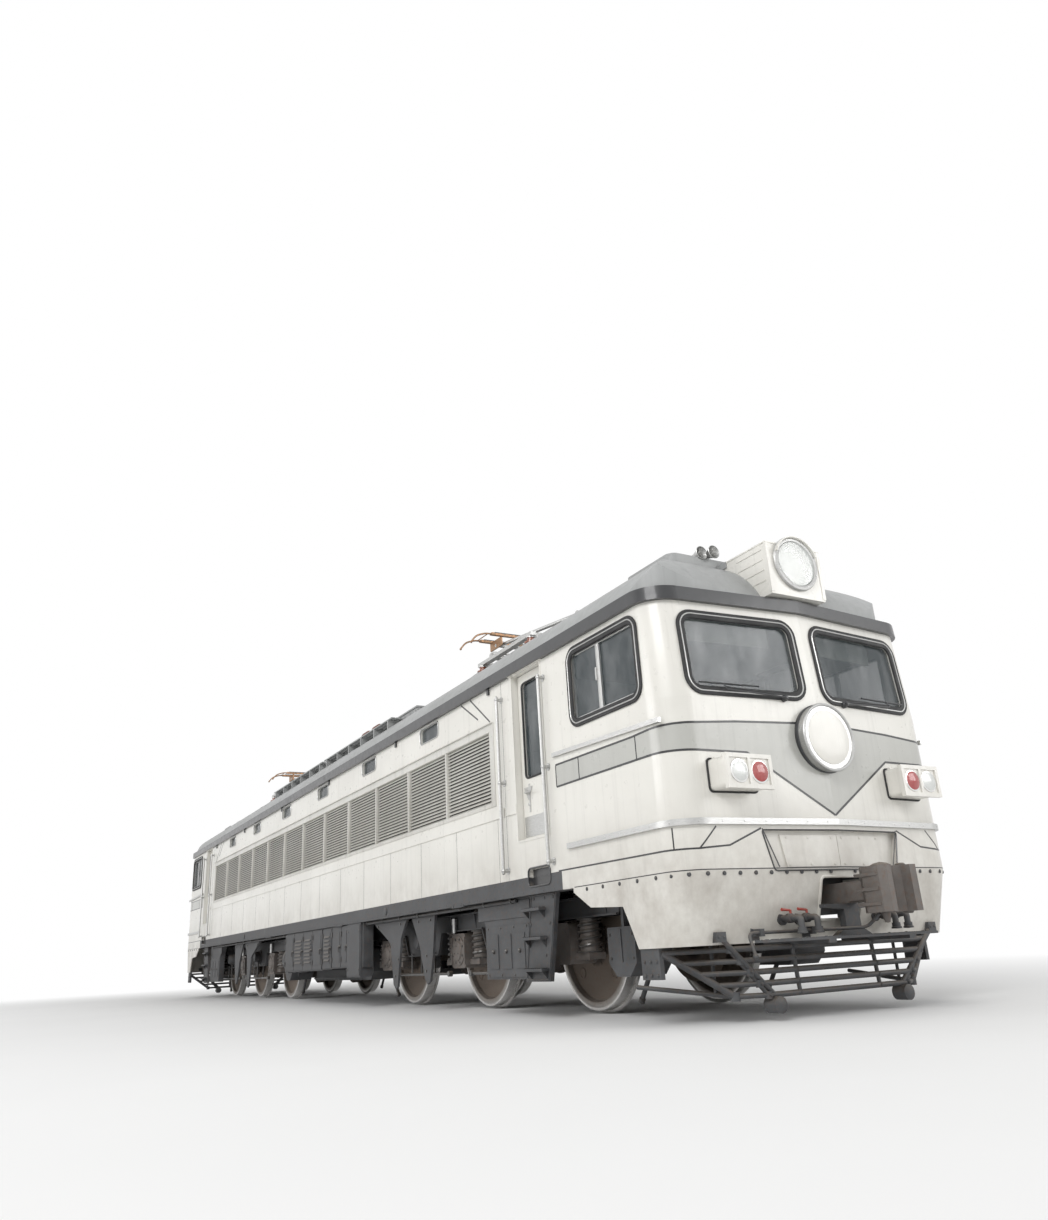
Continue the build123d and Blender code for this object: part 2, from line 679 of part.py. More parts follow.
# Rail guards: bars bowed round the nose, raked end tubes, brackets, straps and the tread plate
with BuildPart() as rail_guards:
    top_z, top_x, top_half = guard_bars[0]
    low_z, low_x, low_half = guard_bars[-1]
    strap_z = (guard_strap["z"], guard_strap["z"] + guard_strap["t"])
    for side in (-1, 1):
        high = Vector(guard_end["top"][0], side * guard_end["top"][1], guard_end["top"][2])
        low = Vector(guard_end["low"][0], side * guard_end["low"][1], guard_end["low"][2])
        add(rod(high, low, guard_end["r"]))
        for z, x, half in guard_bars:
            add(rod((x, side * half, z), high + (low - high) * ((top_z - z) / (top_z - low_z)), swept_r))
        stay_end = Vector(side_stay["x"], side * side_stay["y"], side_stay["z"])
        hanger = low + (stay_end - low) * ((side_stay["hanger_x"] - low.X) / (stay_end.X - low.X))
        add(rod(low, stay_end, side_stay["r"]))
        add(rod(hanger, (hanger.X, hanger.Y, sill_bottom), side_stay["hanger_r"]))
        add(rod(low - (0, 0, guard_end["foot_half"]), low + (0, 0, guard_end["foot_half"]),
                guard_end["foot_r"]))
        add(rod((top_x - post_setback, side * top_half, top_z),
                (low_x - post_setback, side * low_half, low_z), post_r))
        add(rod((top_x, side * guard_strap["y"], top_z), (low_x, side * guard_strap["y"], low_z), post_r))
        add(rod((guard_brace["x"], side * guard_brace["y"], guard_brace["z"]),
                (low_x, side * guard_brace["low_y"], guard_brace["low_z"]), guard_brace["r"]))
        add(rod((guard_foot["x0"], side * guard_brace["low_y"], guard_foot["z"]),
                (guard_foot["x1"], side * guard_brace["low_y"], guard_foot["z"]), guard_foot["r"]))
        bracket = sorted((side * guard_bracket["y"], side * (half_w - apron_t)))
        add(slab_x(guard_bracket["x0"], guard_bracket["x1"], *bracket, guard_bracket["z0"],
                   guard_bracket["z1"]))
        y = sorted((side * (guard_strap["y"] - guard_strap["half"]),
                    side * (guard_strap["y"] + guard_strap["half"])))
        add(slab_x(end_beam_x, tread_plate[1][0], *y, *strap_z))
        add(slab_x(end_beam_x, end_beam_x + end_beam_half, *y, guard_strap["z"], sill_bottom))
    for z, x, half in guard_bars:
        add(rod((x, -half, z), (x, half, z), guard_r))
        for y in (-half, half):
            add(rod((x, y, z - bend_collar["half"]), (x, y, z + bend_collar["half"]), bend_collar["r"]))
    with BuildSketch(Plane.XY.offset(strap_z[1])):
        Polygon(*tread_plate, align=None)
    extrude(amount=tread_plate_t)
    add(prism_x(carrier_outline, *carrier_x))
    mirror(about=Plane.YZ)
save(rail_guards.part, "rail_guards")

# Knuckle couplers
with BuildPart() as couplers:
    add(slab_x(shank["x0"], shank["x1"], -shank["w"] / 2, shank["w"] / 2,
               coupler_z - shank["h"] / 2, coupler_z + shank["h"] / 2))
    with BuildSketch(Plane.XY.offset(coupler_z - coupler_head_h / 2)):
        Polygon(*coupler_head, align=None)
    extrude(amount=coupler_head_h)
    mirror(about=Plane.YZ)
save(couplers.part, "couplers")

# Ladder boards under the doors
with BuildPart() as door_ladders:
    board = ((ladder["top0"], sill_bottom), (ladder["top1"], sill_bottom), (ladder["low1"], ladder["z"]),
             (ladder["low0"], ladder["z"]))
    add(prism_y(board, half_w - ladder["back"], half_w - ladder["front"]))
    for z in ladder_step_z:
        add(slab_x(ladder_step["x0"], ladder_step["x1"], half_w - ladder["front"],
                   half_w + ladder_step["reach"],
                   z, z + ladder_step["t"]))
    mirror(about=Plane.XZ)
    mirror(about=Plane.YZ)
save(door_ladders.part, "door_ladders")

# Bulkheads behind the cabs and the raised cab floors
with BuildPart() as cab_bulkheads:
    with BuildSketch(Plane.YZ.offset(cab_joint_x + bulkhead["gap"])):
        with Locations((0, (floor_z + wall_top) / 2)):
            Rectangle(2 * (half_w - wall_t), wall_top - floor_z)
    extrude(amount=bulkhead["t"])
    mirror(about=Plane.YZ)
save(cab_bulkheads.part, "cab_bulkheads")
with BuildPart() as cab_floors:
    floor_x = cab_joint_x + bulkhead["gap"] + bulkhead["t"]
    add(plan_prism(cab_floor_z - cab_floor_t, cab_floor_z, wall_t, nose_x, floor_x))
    for y in floor_bearer_y:
        add(slab_x(floor_x, floor_bearer["x1"], y - floor_bearer["half"], y + floor_bearer["half"],
                   floor_z, cab_floor_z - cab_floor_t))
    mirror(about=Plane.YZ)
save(cab_floors.part, "cab_floors")

# Driver's desk and seats, seen through the windows
with BuildPart() as driver_desks:
    add(prism_y(desk_outline, -desk_half, desk_half))
    mirror(about=Plane.YZ)
save(driver_desks.part, "driver_desks")
with BuildPart() as cab_seats:
    for y in (-seat["y"], seat["y"]):
        add(rod((seat["x"], y, cab_floor_z), (seat["x"], y, seat["z"]), seat["post_r"]))
        add(slab_x(seat["x"] - seat["half_l"], seat["x"] + seat["half_l"], y - seat["half_w"],
                   y + seat["half_w"],
                   seat["z"], seat["z"] + seat["t"]))
        add(prism_y(seat_back, y - seat["back_half"], y + seat["back_half"], seat["r"]))
    mirror(about=Plane.YZ)
save(cab_seats.part, "cab_seats")

# Transformer between the bogies, equipment boxes and air reservoirs
with BuildPart() as transformer:
    add(slab_x(-tank["half_x"], tank["half_x"], -tank["half_y"], tank["half_y"], tank["z"],
               floor_z - floor_t))
    fillet(transformer.edges().filter_by(Axis.Z), tank["r"])
    for x in bearer_x[:2]:
        for end in (-1, 1):
            add(slab_x(end * x - bearer_half - 1, end * x + bearer_half + 1, -tank["half_y"] - 1,
                       tank["half_y"] + 1,
                       bearer_z - 1, floor_z), mode=Mode.SUBTRACT)
    for side in (-1, 1):
        groove = sorted((side * (stringer_y[0] - 1), side * (stringer_y[1] + 1)))
        add(slab_x(-tank["half_x"] - 1, tank["half_x"] + 1, *groove, stringer_z - 1, floor_z),
            mode=Mode.SUBTRACT)
save(transformer.part, "transformer")
with BuildPart() as equipment_boxes:
    for x0, x1, z0, y0, y1 in middle_boxes:
        add(slab_x(x0, x1, y0, y1, z0, sill_bottom))
    for end in (-1, 1):
        for outline in (hung_box, *hanger_shapes):
            y = hung_box_y if outline is hung_box else hanger_y
            add(prism_y([(end * x, z) for x, z in outline], *y))
    mirror(about=Plane.XZ)
save(equipment_boxes.part, "equipment_boxes")
with BuildPart() as air_reservoirs:
    for y in (-reservoir["y"], reservoir["y"]):
        add(rod((reservoir["x0"], y, reservoir["z"]), (reservoir["x1"], y, reservoir["z"]), reservoir["r"]))
    fillet(air_reservoirs.edges().filter_by(GeomType.CIRCLE), reservoir["crown"])
    for x in reservoir_strap_x:
        for y in (-reservoir["y"], reservoir["y"]):
            add(slab_x(x - strap_half, x + strap_half, y - strap_half, y + strap_half, reservoir["z"],
                       floor_z - floor_t))
save(air_reservoirs.part, "air_reservoirs")

hinge_y = half_w - wall_t - door_frame_w - hinge_r - fit_gap

# Cab doors: each leaf stands back in its frame and opens inwards on its front edge
with BuildPart() as leaf:
    y0 = half_w - door_recess - door_t
    y1 = half_w - door_recess
    add(prism_y(box_points(doorway["x0"] + door_lock_gap, doorway["x1"] - door_gap, doorway["z0"] + door_gap,
                           doorway["z1"] - door_gap), y0, y1))
    add(prism_y(box_points(doorway["x0"] + door_window["margin"], doorway["x1"] - door_window["margin"],
                           door_window["z0"], door_window["z1"]), y0 - 1, y1 + 1, door_window["r"]),
        mode=Mode.SUBTRACT)
    for z in hinge_z:
        add(rod((hinge_x, hinge_y, z), (hinge_x, hinge_y, z + hinge_h), hinge_r))
        add(slab_x(hinge_x - 60, doorway["x1"] - door_gap, hinge_y - 4, y0, z, z + hinge_h))
for end_name, end in (("front", 1), ("rear", -1)):
    for side_name, side in (("left", 1), ("right", -1)):
        with BuildPart() as door:
            if end > 0 and side > 0:
                add(leaf.part)
            elif end > 0:
                mirror(leaf.part, about=Plane.XZ)
            elif side > 0:
                mirror(leaf.part, about=Plane.YZ)
            else:
                mirror(mirror(leaf.part, about=Plane.XZ, mode=Mode.PRIVATE), about=Plane.YZ)
        save(door.part, f"door_{end_name}_{side_name}")


def bogie_frame_part(cx):
    """Bogie frame: side frames that dip between the axle boxes, transoms, end beams and pivot plate."""
    web_z = frame_top - frame_web
    outline = [(cx - frame_half, frame_top), (cx - frame_half, web_z)]
    for mid in (-axle_pitch / 2, axle_pitch / 2):
        outline += [(cx + mid - frame_dip["top_half"], web_z),
                    (cx + mid - frame_dip["low_half"], frame_dip["z"]),
                    (cx + mid + frame_dip["low_half"], frame_dip["z"]),
                    (cx + mid + frame_dip["top_half"], web_z)]
    outline += [(cx + frame_half, web_z), (cx + frame_half, frame_top)]
    with BuildPart() as frame:
        for side in (-1, 1):
            add(prism_y(outline, *sorted((side * (frame_y - frame_w / 2), side * (frame_y + frame_w / 2)))))
        for x in (-axle_pitch / 2, axle_pitch / 2):
            add(slab_x(cx + x - transom["half"], cx + x + transom["half"], -frame_y, frame_y,
                       transom["z0"], transom["z1"]))
        add(slab_x(cx - axle_pitch / 2, cx + axle_pitch / 2, -transom["centre_half"], transom["centre_half"],
                   transom["z1"] - transom["centre_t"], transom["z1"]))
        for x in (-end_beam_dx, end_beam_dx):
            add(slab_x(cx + x - bogie_beam["half"], cx + x + bogie_beam["half"], -frame_y, frame_y,
                       bogie_beam["z0"], bogie_beam["z1"]))
        for x in side_spring_x:
            for y in (-frame_y, frame_y):
                add(rod((cx + x, y, frame_top), (cx + x, y, floor_z - floor_t - fit_gap), side_spring_r))
    return frame.part


def axle_box_part(cx):
    """Axle boxes with a bore for the journal, wings, and a coil spring each side."""
    with BuildPart() as boxes:
        for axle in (-axle_pitch, 0, axle_pitch):
            x = cx + axle
            wing = spring_dx + spring_wing["past"]
            add(prism_y(box_points(x - box_half, x + box_half, axle_z - box_half, axle_z + box_half),
                        box_y0, box_y1, box_r))
            add(slab_x(x - wing, x + wing, frame_y - spring_wing["half"], frame_y + spring_wing["half"],
                       spring_seat - spring_wing["t"], spring_seat))
            for dx in (-spring_dx, spring_dx):
                add(rod((x + dx, frame_y, spring_seat), (x + dx, frame_y, frame_top - frame_web), spring_r))
            add(rod((x, box_y0 - 1, axle_z), (x, journal_end + journal_play, axle_z), journal_r + bore_gap),
                mode=Mode.SUBTRACT)
        mirror(about=Plane.XZ)
    return boxes.part


def motor_part(cx):
    """Three motors, each hung on its axle by a tube and on the transom by a nose."""
    half = motor["half"]
    with BuildPart() as motors:
        for axle, way in ((-axle_pitch, 1), (0, 1), (axle_pitch, -1)):
            x0 = cx + axle
            x = x0 + way * motor["dx"]
            nose = x0 + way * (axle_pitch / 2 - transom["half"])
            add(rod((x, -half, motor["z"]), (x, half, motor["z"]), motor["r"]))
            add(rod((x0, -half, axle_z), (x0, half, axle_z), tube_r))
            add(slab_x(*sorted((x0, x)), -half, half, axle_z - motor["case_half"],
                       axle_z + motor["case_half"]))
            add(slab_x(*sorted((x, nose)), -motor["nose_half"], motor["nose_half"], motor["nose_z0"],
                       motor["nose_z1"]))
            add(rod((x0, -half - 1, axle_z), (x0, half + 1, axle_z), axle_r + bore_gap), mode=Mode.SUBTRACT)
    return motors.part


def brake_part(cx):
    """Brake shoes on both sides of each wheel, hung from the nearest cross beam of the bogie frame."""
    shoe_r = tread_r + brake_shoe["gap"]
    end_beam_face = end_beam_dx - axle_pitch - bogie_beam["half"]
    transom_face = axle_pitch / 2 - transom["half"]
    y = (brake_hanger["y0"], brake_hanger["y1"])
    with BuildPart() as gear:
        for axle in (-axle_pitch, 0, axle_pitch):
            for way in (-1, 1):
                x = cx + axle
                end_side = axle * way > 0
                beam_dx = end_beam_face if end_side else transom_face
                arm_z = brake_hanger["end_arm_z"] if end_side else brake_hanger["arm_z"]
                with BuildSketch(Plane.XZ.offset(-brake_shoe["y1"])):
                    with Locations((x, axle_z)):
                        Circle(shoe_r + brake_shoe["t"])
                        Circle(shoe_r, mode=Mode.SUBTRACT)
                    with Locations((x + way * shoe_r, axle_z)):
                        Rectangle(2 * (brake_shoe["t"] + brake_shoe["reach"]), 2 * brake_shoe["half_h"],
                                  mode=Mode.INTERSECT)
                extrude(amount=brake_shoe["y1"] - brake_shoe["y0"])
                link = sorted((x + way * brake_hanger["dx"],
                               x + way * (brake_hanger["dx"] + brake_hanger["t"])))
                arm = sorted((x + way * brake_hanger["dx"], x + way * beam_dx))
                add(slab_x(*link, *y, brake_hanger["z"], arm_z + brake_hanger["arm_t"]))
                add(slab_x(*arm, *y, arm_z, arm_z + brake_hanger["arm_t"]))
        mirror(about=Plane.XZ)
    return gear.part


def sand_part(cx):
    """Sand boxes on both ends of the bogie frame, each with a pipe that points at the rail."""
    box = sand_box
    with BuildPart() as boxes:
        for way in (-1, 1):
            x0 = cx + way * box["dx0"]
            x1 = cx + way * box["dx1"]
            cut = way * box["slope"]
            outline = ((x0, box["z1"]), (x1, box["z1"]), (x1, box["z0"] + box["slope"]),
                       (x1 - cut, box["z0"]),
                       (x0 + cut, box["z0"]), (x0, box["z0"] + box["slope"]))
            add(prism_y(outline, box["y0"], box["y1"]))
            bracket = sorted((cx + way * frame_half, cx + way * (frame_half + sand_bracket["t"])))
            add(slab_x(*bracket, sand_bracket["y0"], sand_bracket["y1"], sand_bracket["z0"],
                       sand_bracket["z1"]))
            add(rod((cx + way * sand_pipe["dx"], sand_pipe["y"], sand_pipe["z"]),
                    (cx + way * sand_pipe["low_dx"], sand_pipe["y"], sand_pipe["low_z"]), sand_pipe["r"]))
        mirror(about=Plane.XZ)
    return boxes.part


def wheel_outline():
    """Half section of one wheel from the back of its hub to the journal: distance from the middle, radius."""
    back = back_to_back / 2
    face = back + tyre_w
    rim = tread_r - tyre_t
    top = tread_r + flange_h
    inner = back - wheel_hub["past"]
    outer = face + wheel_hub["past"] + wheel_hub["boss"]
    hub_r = wheel_hub["r"]
    web0 = back + wheel_web["back"]
    web1 = face - wheel_web["face"]
    fall = wheel_web["dish"]
    return ((inner, axle_r), (inner, hub_r), (web0, hub_r + fall), (web0 + fall, rim - wheel_web["lip"]),
            (back, rim),
            (back, tread_r - fall), (back + flange_w / 6, top - flange_round), (back + flange_w / 2, top),
            (back + flange_w - 4, top - flange_round), (back + flange_w, tread_r),
            (face, tread_r - tread_fall), (face, rim), (web1 - fall, rim - wheel_web["lip"]),
            (web1, hub_r + fall), (outer, hub_r), (outer, axle_r),
            (box_y0 - collar_gap, journal_r), (journal_end, journal_r), (journal_end, 0))


def wheelset_part(x):
    """Axle, gear and both wheels as one turned body."""
    half = wheel_outline()
    gear0 = gear_y - gear_w / 2
    gear1 = gear_y + gear_w / 2
    with BuildPart() as wheelset:
        with BuildSketch(Plane.XY):
            with BuildLine():
                Polyline(*[(-a, r) for a, r in reversed(half)], (gear0, axle_r), (gear0, gear_r),
                         (gear1, gear_r),
                         (gear1, axle_r), *half, close=True)
            make_face()
        revolve(axis=Axis.X)
    return Location((x, 0, axle_z), (0, 0, 90)) * wheelset.part


for end_name, end in (("front", 1), ("rear", -1)):
    save(bogie_frame_part(end * bogie_x), f"bogie_frame_{end_name}")
    save(axle_box_part(end * bogie_x), f"axle_boxes_{end_name}")
    save(motor_part(end * bogie_x), f"traction_motors_{end_name}")
    save(brake_part(end * bogie_x), f"brake_gear_{end_name}")
    save(sand_part(end * bogie_x), f"sand_boxes_{end_name}")
for number in range(6):
    bogie = bogie_x if number < 3 else -bogie_x
    save(wheelset_part(bogie + (1 - number % 3) * axle_pitch), f"wheelset_{number + 1}")


# Hatches along the roof and the low raised plate over each cab
with BuildPart() as cab_plates:
    add(slab_x(roof_lip["x0"], roof_lip["x1"], -roof_lip["half"], roof_lip["half"], roof_lip["z0"],
               roof_lip["z"]))
    fillet(cab_plates.edges().filter_by(Axis.Z), roof_lip["r"])
    add(roof_end_form(0, cab_joint_x), mode=Mode.SUBTRACT)
    mirror(about=Plane.YZ)
with BuildPart() as roof_hatches:
    for x in hatch_x:
        add(slab_x(x - hatch["half_l"], x + hatch["half_l"], -hatch["half_w"], hatch["half_w"],
                   roof_top - 20, roof_top + hatch["h"]))
    add(roof_form(0, -cab_joint_x, cab_joint_x), mode=Mode.SUBTRACT)
    add(cab_plates.part)
save(roof_hatches.part, "roof_gear")

# Post insulators under the pantographs, the busbar and the breaker
base_z = roof_top + insulator["h"]
busbar_z = base_z + panto_beam["t"] / 2
with BuildPart() as roof_insulators:
    for end in (-1, 1):
        for dx in panto_post_dx:
            for y in (-panto_post_y, panto_post_y):
                add(insulator_post(end * (panto_x + dx), y, base_z))
    for x in busbar_post_x:
        add(insulator_post(x, busbar["y"], busbar_z - busbar["saddle_w"]))
    add(insulator_post(0, breaker["y"], busbar_z - busbar["saddle_w"]))
    add(roof_form(0, -cab_joint_x, cab_joint_x), mode=Mode.SUBTRACT)
save(roof_insulators.part, "roof_insulators")

# Busbar from one pantograph to the other in a saddle on each post, and the line breaker tied to it
with BuildPart() as roof_busbar:
    end_x = panto_x + panto_beam["x0"]
    add(rod((-end_x, busbar["y"], busbar_z), (end_x, busbar["y"], busbar_z), busbar["r"]))
    for x in busbar_post_x:
        add(slab_x(x - busbar["saddle_l"], x + busbar["saddle_l"], busbar["y"] - busbar["saddle_w"],
                   busbar["y"] + busbar["saddle_w"], busbar_z - busbar["saddle_w"], busbar_z + busbar["r"]))
    add(slab_x(-breaker["head_l"], breaker["head_l"], breaker["y"] - breaker["head_w"],
               breaker["y"] + breaker["head_w"], busbar_z - busbar["saddle_w"], breaker["z"]))
    add(rod((-breaker["half"], breaker["y"], breaker["z"]), (breaker["half"], breaker["y"], breaker["z"]),
            breaker["r"]))
    add(rod((0, breaker["y"] + breaker["head_w"] - 1, busbar_z),
            (0, busbar["y"] - busbar["saddle_w"], busbar_z), busbar["r"] - 5))
save(roof_busbar.part, "roof_busbar")

# Pantograph bases: two long and two cross beams, the bearings and the rest for the arm
rise = math.radians(arm_rest)
with BuildPart() as pantograph_bases:
    for y in (-panto_post_y, panto_post_y):
        add(slab_x(panto_x + panto_beam["x0"], panto_x + panto_beam["x1"], y - panto_beam["half"],
                   y + panto_beam["half"], base_z, base_z + panto_beam["t"]))
    for dx in panto_post_dx:
        add(slab_x(panto_x + dx - panto_beam["half"], panto_x + dx + panto_beam["half"],
                   -panto_post_y, panto_post_y, base_z, base_z + panto_beam["t"]))
    for side in (-1, 1):
        add(slab_x(panto_x - panto_bearing["half"], panto_x + panto_bearing["half"],
                   *sorted((side * panto_bearing["y0"], side * panto_bearing["y1"])),
                   base_z + panto_beam["t"], panto_pivot_z + panto_bearing["top"]))
    add(rod((panto_x, -panto_post_y - 20, panto_pivot_z), (panto_x, panto_post_y + 20, panto_pivot_z),
            shaft_r + bore_gap), mode=Mode.SUBTRACT)
    rest_dx = panto_post_dx[1]
    rest_z = panto_pivot_z + rest_dx * math.tan(rise) - arm_rest_drop
    add(rod((panto_x + rest_dx, 0, base_z + panto_beam["t"]), (panto_x + rest_dx, 0, rest_z), arm_rest_r))
    mirror(about=Plane.YZ)
save(pantograph_bases.part, "pantograph_bases")

# Pantograph: tapered lower arm with a knuckle, forked upper arm, and a head with two contact strips
knee = (panto_x + arm_len * math.cos(rise), panto_pivot_z + arm_len * math.sin(rise))
top_pin = (panto_x, panto_pivot_z + 2 * arm_len * math.sin(rise))
with BuildPart() as lower_arm:
    add(rod((panto_x, -panto_post_y + 12, panto_pivot_z), (panto_x, panto_post_y - 12, panto_pivot_z),
            shaft_r))
    add(rod((panto_x, 0, panto_pivot_z), (knee[0] - lower_tube["short"], 0, knee[1]), lower_tube["r0"],
            lower_tube["r1"]))
    add(rod((knee[0], -knee_half, knee[1]), (knee[0], knee_half, knee[1]), knuckle_r))
    add(rod((knee[0], -knuckle_end, knee[1]), (knee[0], knuckle_end, knee[1]), pin_r))
with BuildPart() as upper_arm:
    for side in (-1, 1):
        add(rod((knee[0], side * (knee_half + knuckle_gap), knee[1]), (knee[0], side * knuckle_end, knee[1]),
                upper_tube["eye_r"]))
        add(rod((knee[0], side * upper_tube["y0"], knee[1]),
                (top_pin[0], side * upper_tube["y1"], top_pin[1]),
                upper_tube["r0"], upper_tube["r1"]))
    add(rod((top_pin[0], -head_y - top_pin_past, top_pin[1]), (top_pin[0], head_y + top_pin_past, top_pin[1]),
            top_pin_r))
    add(rod((knee[0], -knuckle_end - 1, knee[1]), (knee[0], knuckle_end + 1, knee[1]), pin_r + bore_gap),
        mode=Mode.SUBTRACT)
with BuildPart() as head:
    for side in (-1, 1):
        add(slab_x(top_pin[0] - strip_gap / 2, top_pin[0] + strip_gap / 2,
                   *sorted((side * head_y, side * (head_y + head_plate["t"]))),
                   top_pin[1] - head_plate["drop"], top_pin[1] + head_z - strip["t"]))
    add(rod((top_pin[0], -head_y - 30, top_pin[1]), (top_pin[0], head_y + 30, top_pin[1]),
            top_pin_r + bore_gap),
        mode=Mode.SUBTRACT)
    for x in (-strip_gap / 2, strip_gap / 2):
        add(slab_x(top_pin[0] + x - strip["half_w"], top_pin[0] + x + strip["half_w"], -strip["half"],
                   strip["half"],
                   top_pin[1] + head_z - strip["t"], top_pin[1] + head_z))
for name, source in (("lower_arm", lower_arm), ("upper_arm", upper_arm), ("collector_head", head)):
    save(source.part, f"pantograph_{name}_front")
    with BuildPart() as mirrored:
        mirror(source.part, about=Plane.YZ)
    save(mirrored.part, f"pantograph_{name}_rear")
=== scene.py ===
import json
import math

import bmesh
import bpy
from mathutils import Matrix, Vector


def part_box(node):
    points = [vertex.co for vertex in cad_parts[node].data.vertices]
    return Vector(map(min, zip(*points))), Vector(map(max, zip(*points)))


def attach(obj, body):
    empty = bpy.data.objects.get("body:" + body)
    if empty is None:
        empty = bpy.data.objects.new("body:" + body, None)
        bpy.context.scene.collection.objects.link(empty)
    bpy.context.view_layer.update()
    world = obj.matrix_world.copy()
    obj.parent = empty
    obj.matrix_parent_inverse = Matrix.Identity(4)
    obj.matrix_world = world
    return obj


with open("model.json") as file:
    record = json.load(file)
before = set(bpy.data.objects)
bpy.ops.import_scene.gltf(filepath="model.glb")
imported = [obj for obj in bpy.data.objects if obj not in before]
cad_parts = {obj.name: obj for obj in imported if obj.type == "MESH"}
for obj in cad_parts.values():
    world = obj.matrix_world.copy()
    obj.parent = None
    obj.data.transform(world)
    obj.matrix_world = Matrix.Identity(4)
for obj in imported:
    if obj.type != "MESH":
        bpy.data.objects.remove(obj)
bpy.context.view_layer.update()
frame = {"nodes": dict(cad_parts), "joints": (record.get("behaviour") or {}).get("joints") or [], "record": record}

# Main lines of the body in metres, read from the frame where it holds them
PIVOT = {joint["name"]: Vector(joint["pos_m"]) for joint in frame["joints"]}
HIGH = {name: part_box(name)[1] for name in frame["nodes"]}
HALF_W = HIGH["cab_shell_front"].y
NOSE_X = HIGH["cab_shell_front"].x
ROOF_TOP = HIGH["roof_middle"].z
WHEELS = [PIVOT[f"wheels_{number}_turn"] for number in range(1, 7)]
AXLE_Z = WHEELS[0].z
AXLE_PITCH = WHEELS[0].x - WHEELS[1].x
BOGIE_X = PIVOT["bogie_front_swivel"].x
FACET = 0.087
WAIST_Z = 2.478
LEAN = 0.0714
CORNER_R = 0.28
SKIN = 0.0016
STRIPE = 0.0012
ENDS = (("front", 1), ("rear", -1))
FORWARD, OUTWARD, UP, DOWN = Vector((1, 0, 0)), Vector((0, -1, 0)), Vector((0, 0, 1)), Vector((0, 0, -1))

# Materials
LOOKS = {}


class Graph:
    """Short names for the nodes of one tree. A factor, colour or height is a socket or a plain value."""

    def __init__(self, tree):
        self.nodes, self.links = tree.nodes, tree.links

    def put(self, value, socket):
        if isinstance(value, bpy.types.NodeSocket):
            self.links.new(value, socket)
        elif isinstance(value, tuple) and socket.type == "RGBA":
            socket.default_value = (*value, 1)
        else:
            socket.default_value = value

    def node(self, kind, output, inputs, **settings):
        """Output socket of a new node whose inputs are given by name or number."""
        node = self.nodes.new(f"ShaderNode{kind}")
        for key, value in settings.items():
            setattr(node, key, value)
        for key, value in inputs.items():
            self.put(value, node.inputs[key])
        return node.outputs[output]

    def mix(self, factor, a, b):
        return self.node("Mix", "Result", {"Factor": factor, "A": a, "B": b}, data_type="RGBA")

    def maths(self, operation, a, b=0.5, clamp=False):
        return self.node("Math", "Value", {0: a, 1: b}, operation=operation, use_clamp=clamp)

    def times(self, a, b):
        return self.maths("MULTIPLY", a, b)

    def ramp(self, factor, *stops):
        """Colour ramp with stops of (position, grey or colour)."""
        node = self.nodes.new("ShaderNodeValToRGB")
        elements = node.color_ramp.elements
        while len(elements) < len(stops):
            elements.new(0.5)
        for element, (position, color) in zip(elements, stops):
            element.position = position
            element.color = (*color, 1) if isinstance(color, tuple) else (color, color, color, 1)
        self.put(factor, node.inputs["Fac"])
        return node.outputs["Color"]

    def seen_directly(self):
        """1 for what the camera sees, also by a mirror or through glass; no lamp's light is in it."""
        rays = self.nodes.new("ShaderNodeLightPath").outputs
        glossy = self.maths("MAXIMUM", rays["Is Glossy Ray"], rays["Is Transmission Ray"])
        return self.maths("MAXIMUM", rays["Is Camera Ray"], glossy)


class Surface(Graph):
    """Principled material. Every piece sits at the origin, so object coordinates are metres in the frame."""

    def __init__(self, name, base, rough=0.5, metallic=0.0, coat=0.0):
        LOOKS[name] = self.material = bpy.data.materials.new(name)
        self.material.use_nodes = True
        super().__init__(self.material.node_tree)
        self.inputs = self.nodes["Principled BSDF"].inputs
        self.set(**{"Base Color": base, "Roughness": rough, "Metallic": metallic, "Coat Weight": coat})
        self.coord = self.nodes.new("ShaderNodeTexCoord").outputs["Object"]

    def set(self, **values):
        for key, value in values.items():
            self.put(value, self.inputs[key])

    def noise(self, scale, detail=4, rough=0.55, stretch=None):
        coord = self.coord
        if stretch:
            coord = self.node("Mapping", "Vector", {"Scale": stretch, "Vector": coord})
        inputs = {"Scale": scale, "Detail": detail, "Roughness": rough, "Vector": coord}
        return self.node("TexNoise", "Fac", inputs)

    def xyz(self, vector=None):
        """X, Y and Z of a vector, or of the place itself."""
        node = self.nodes.new("ShaderNodeSeparateXYZ")
        self.put(vector or self.coord, node.inputs["Vector"])
        return node.outputs

    def facing_up(self, strength):
        """Where dust and soot settle."""
        normal = self.nodes.new("ShaderNodeNewGeometry").outputs["Normal"]
        return self.times(self.maths("MAXIMUM", self.xyz(normal)["Z"], 0.0), strength)

    def finish(self, color, rough, height, strength, distance):
        """Wires colour and roughness, and a bump from the height."""
        self.set(**{"Base Color": color, "Roughness": rough})
        bump = {"Strength": strength, "Distance": distance, "Height": height}
        self.set(Normal=self.node("Bump", "Normal", bump))


def tint(color, factor, add=0.0):
    return tuple(min(c * factor + add, 1) for c in color)


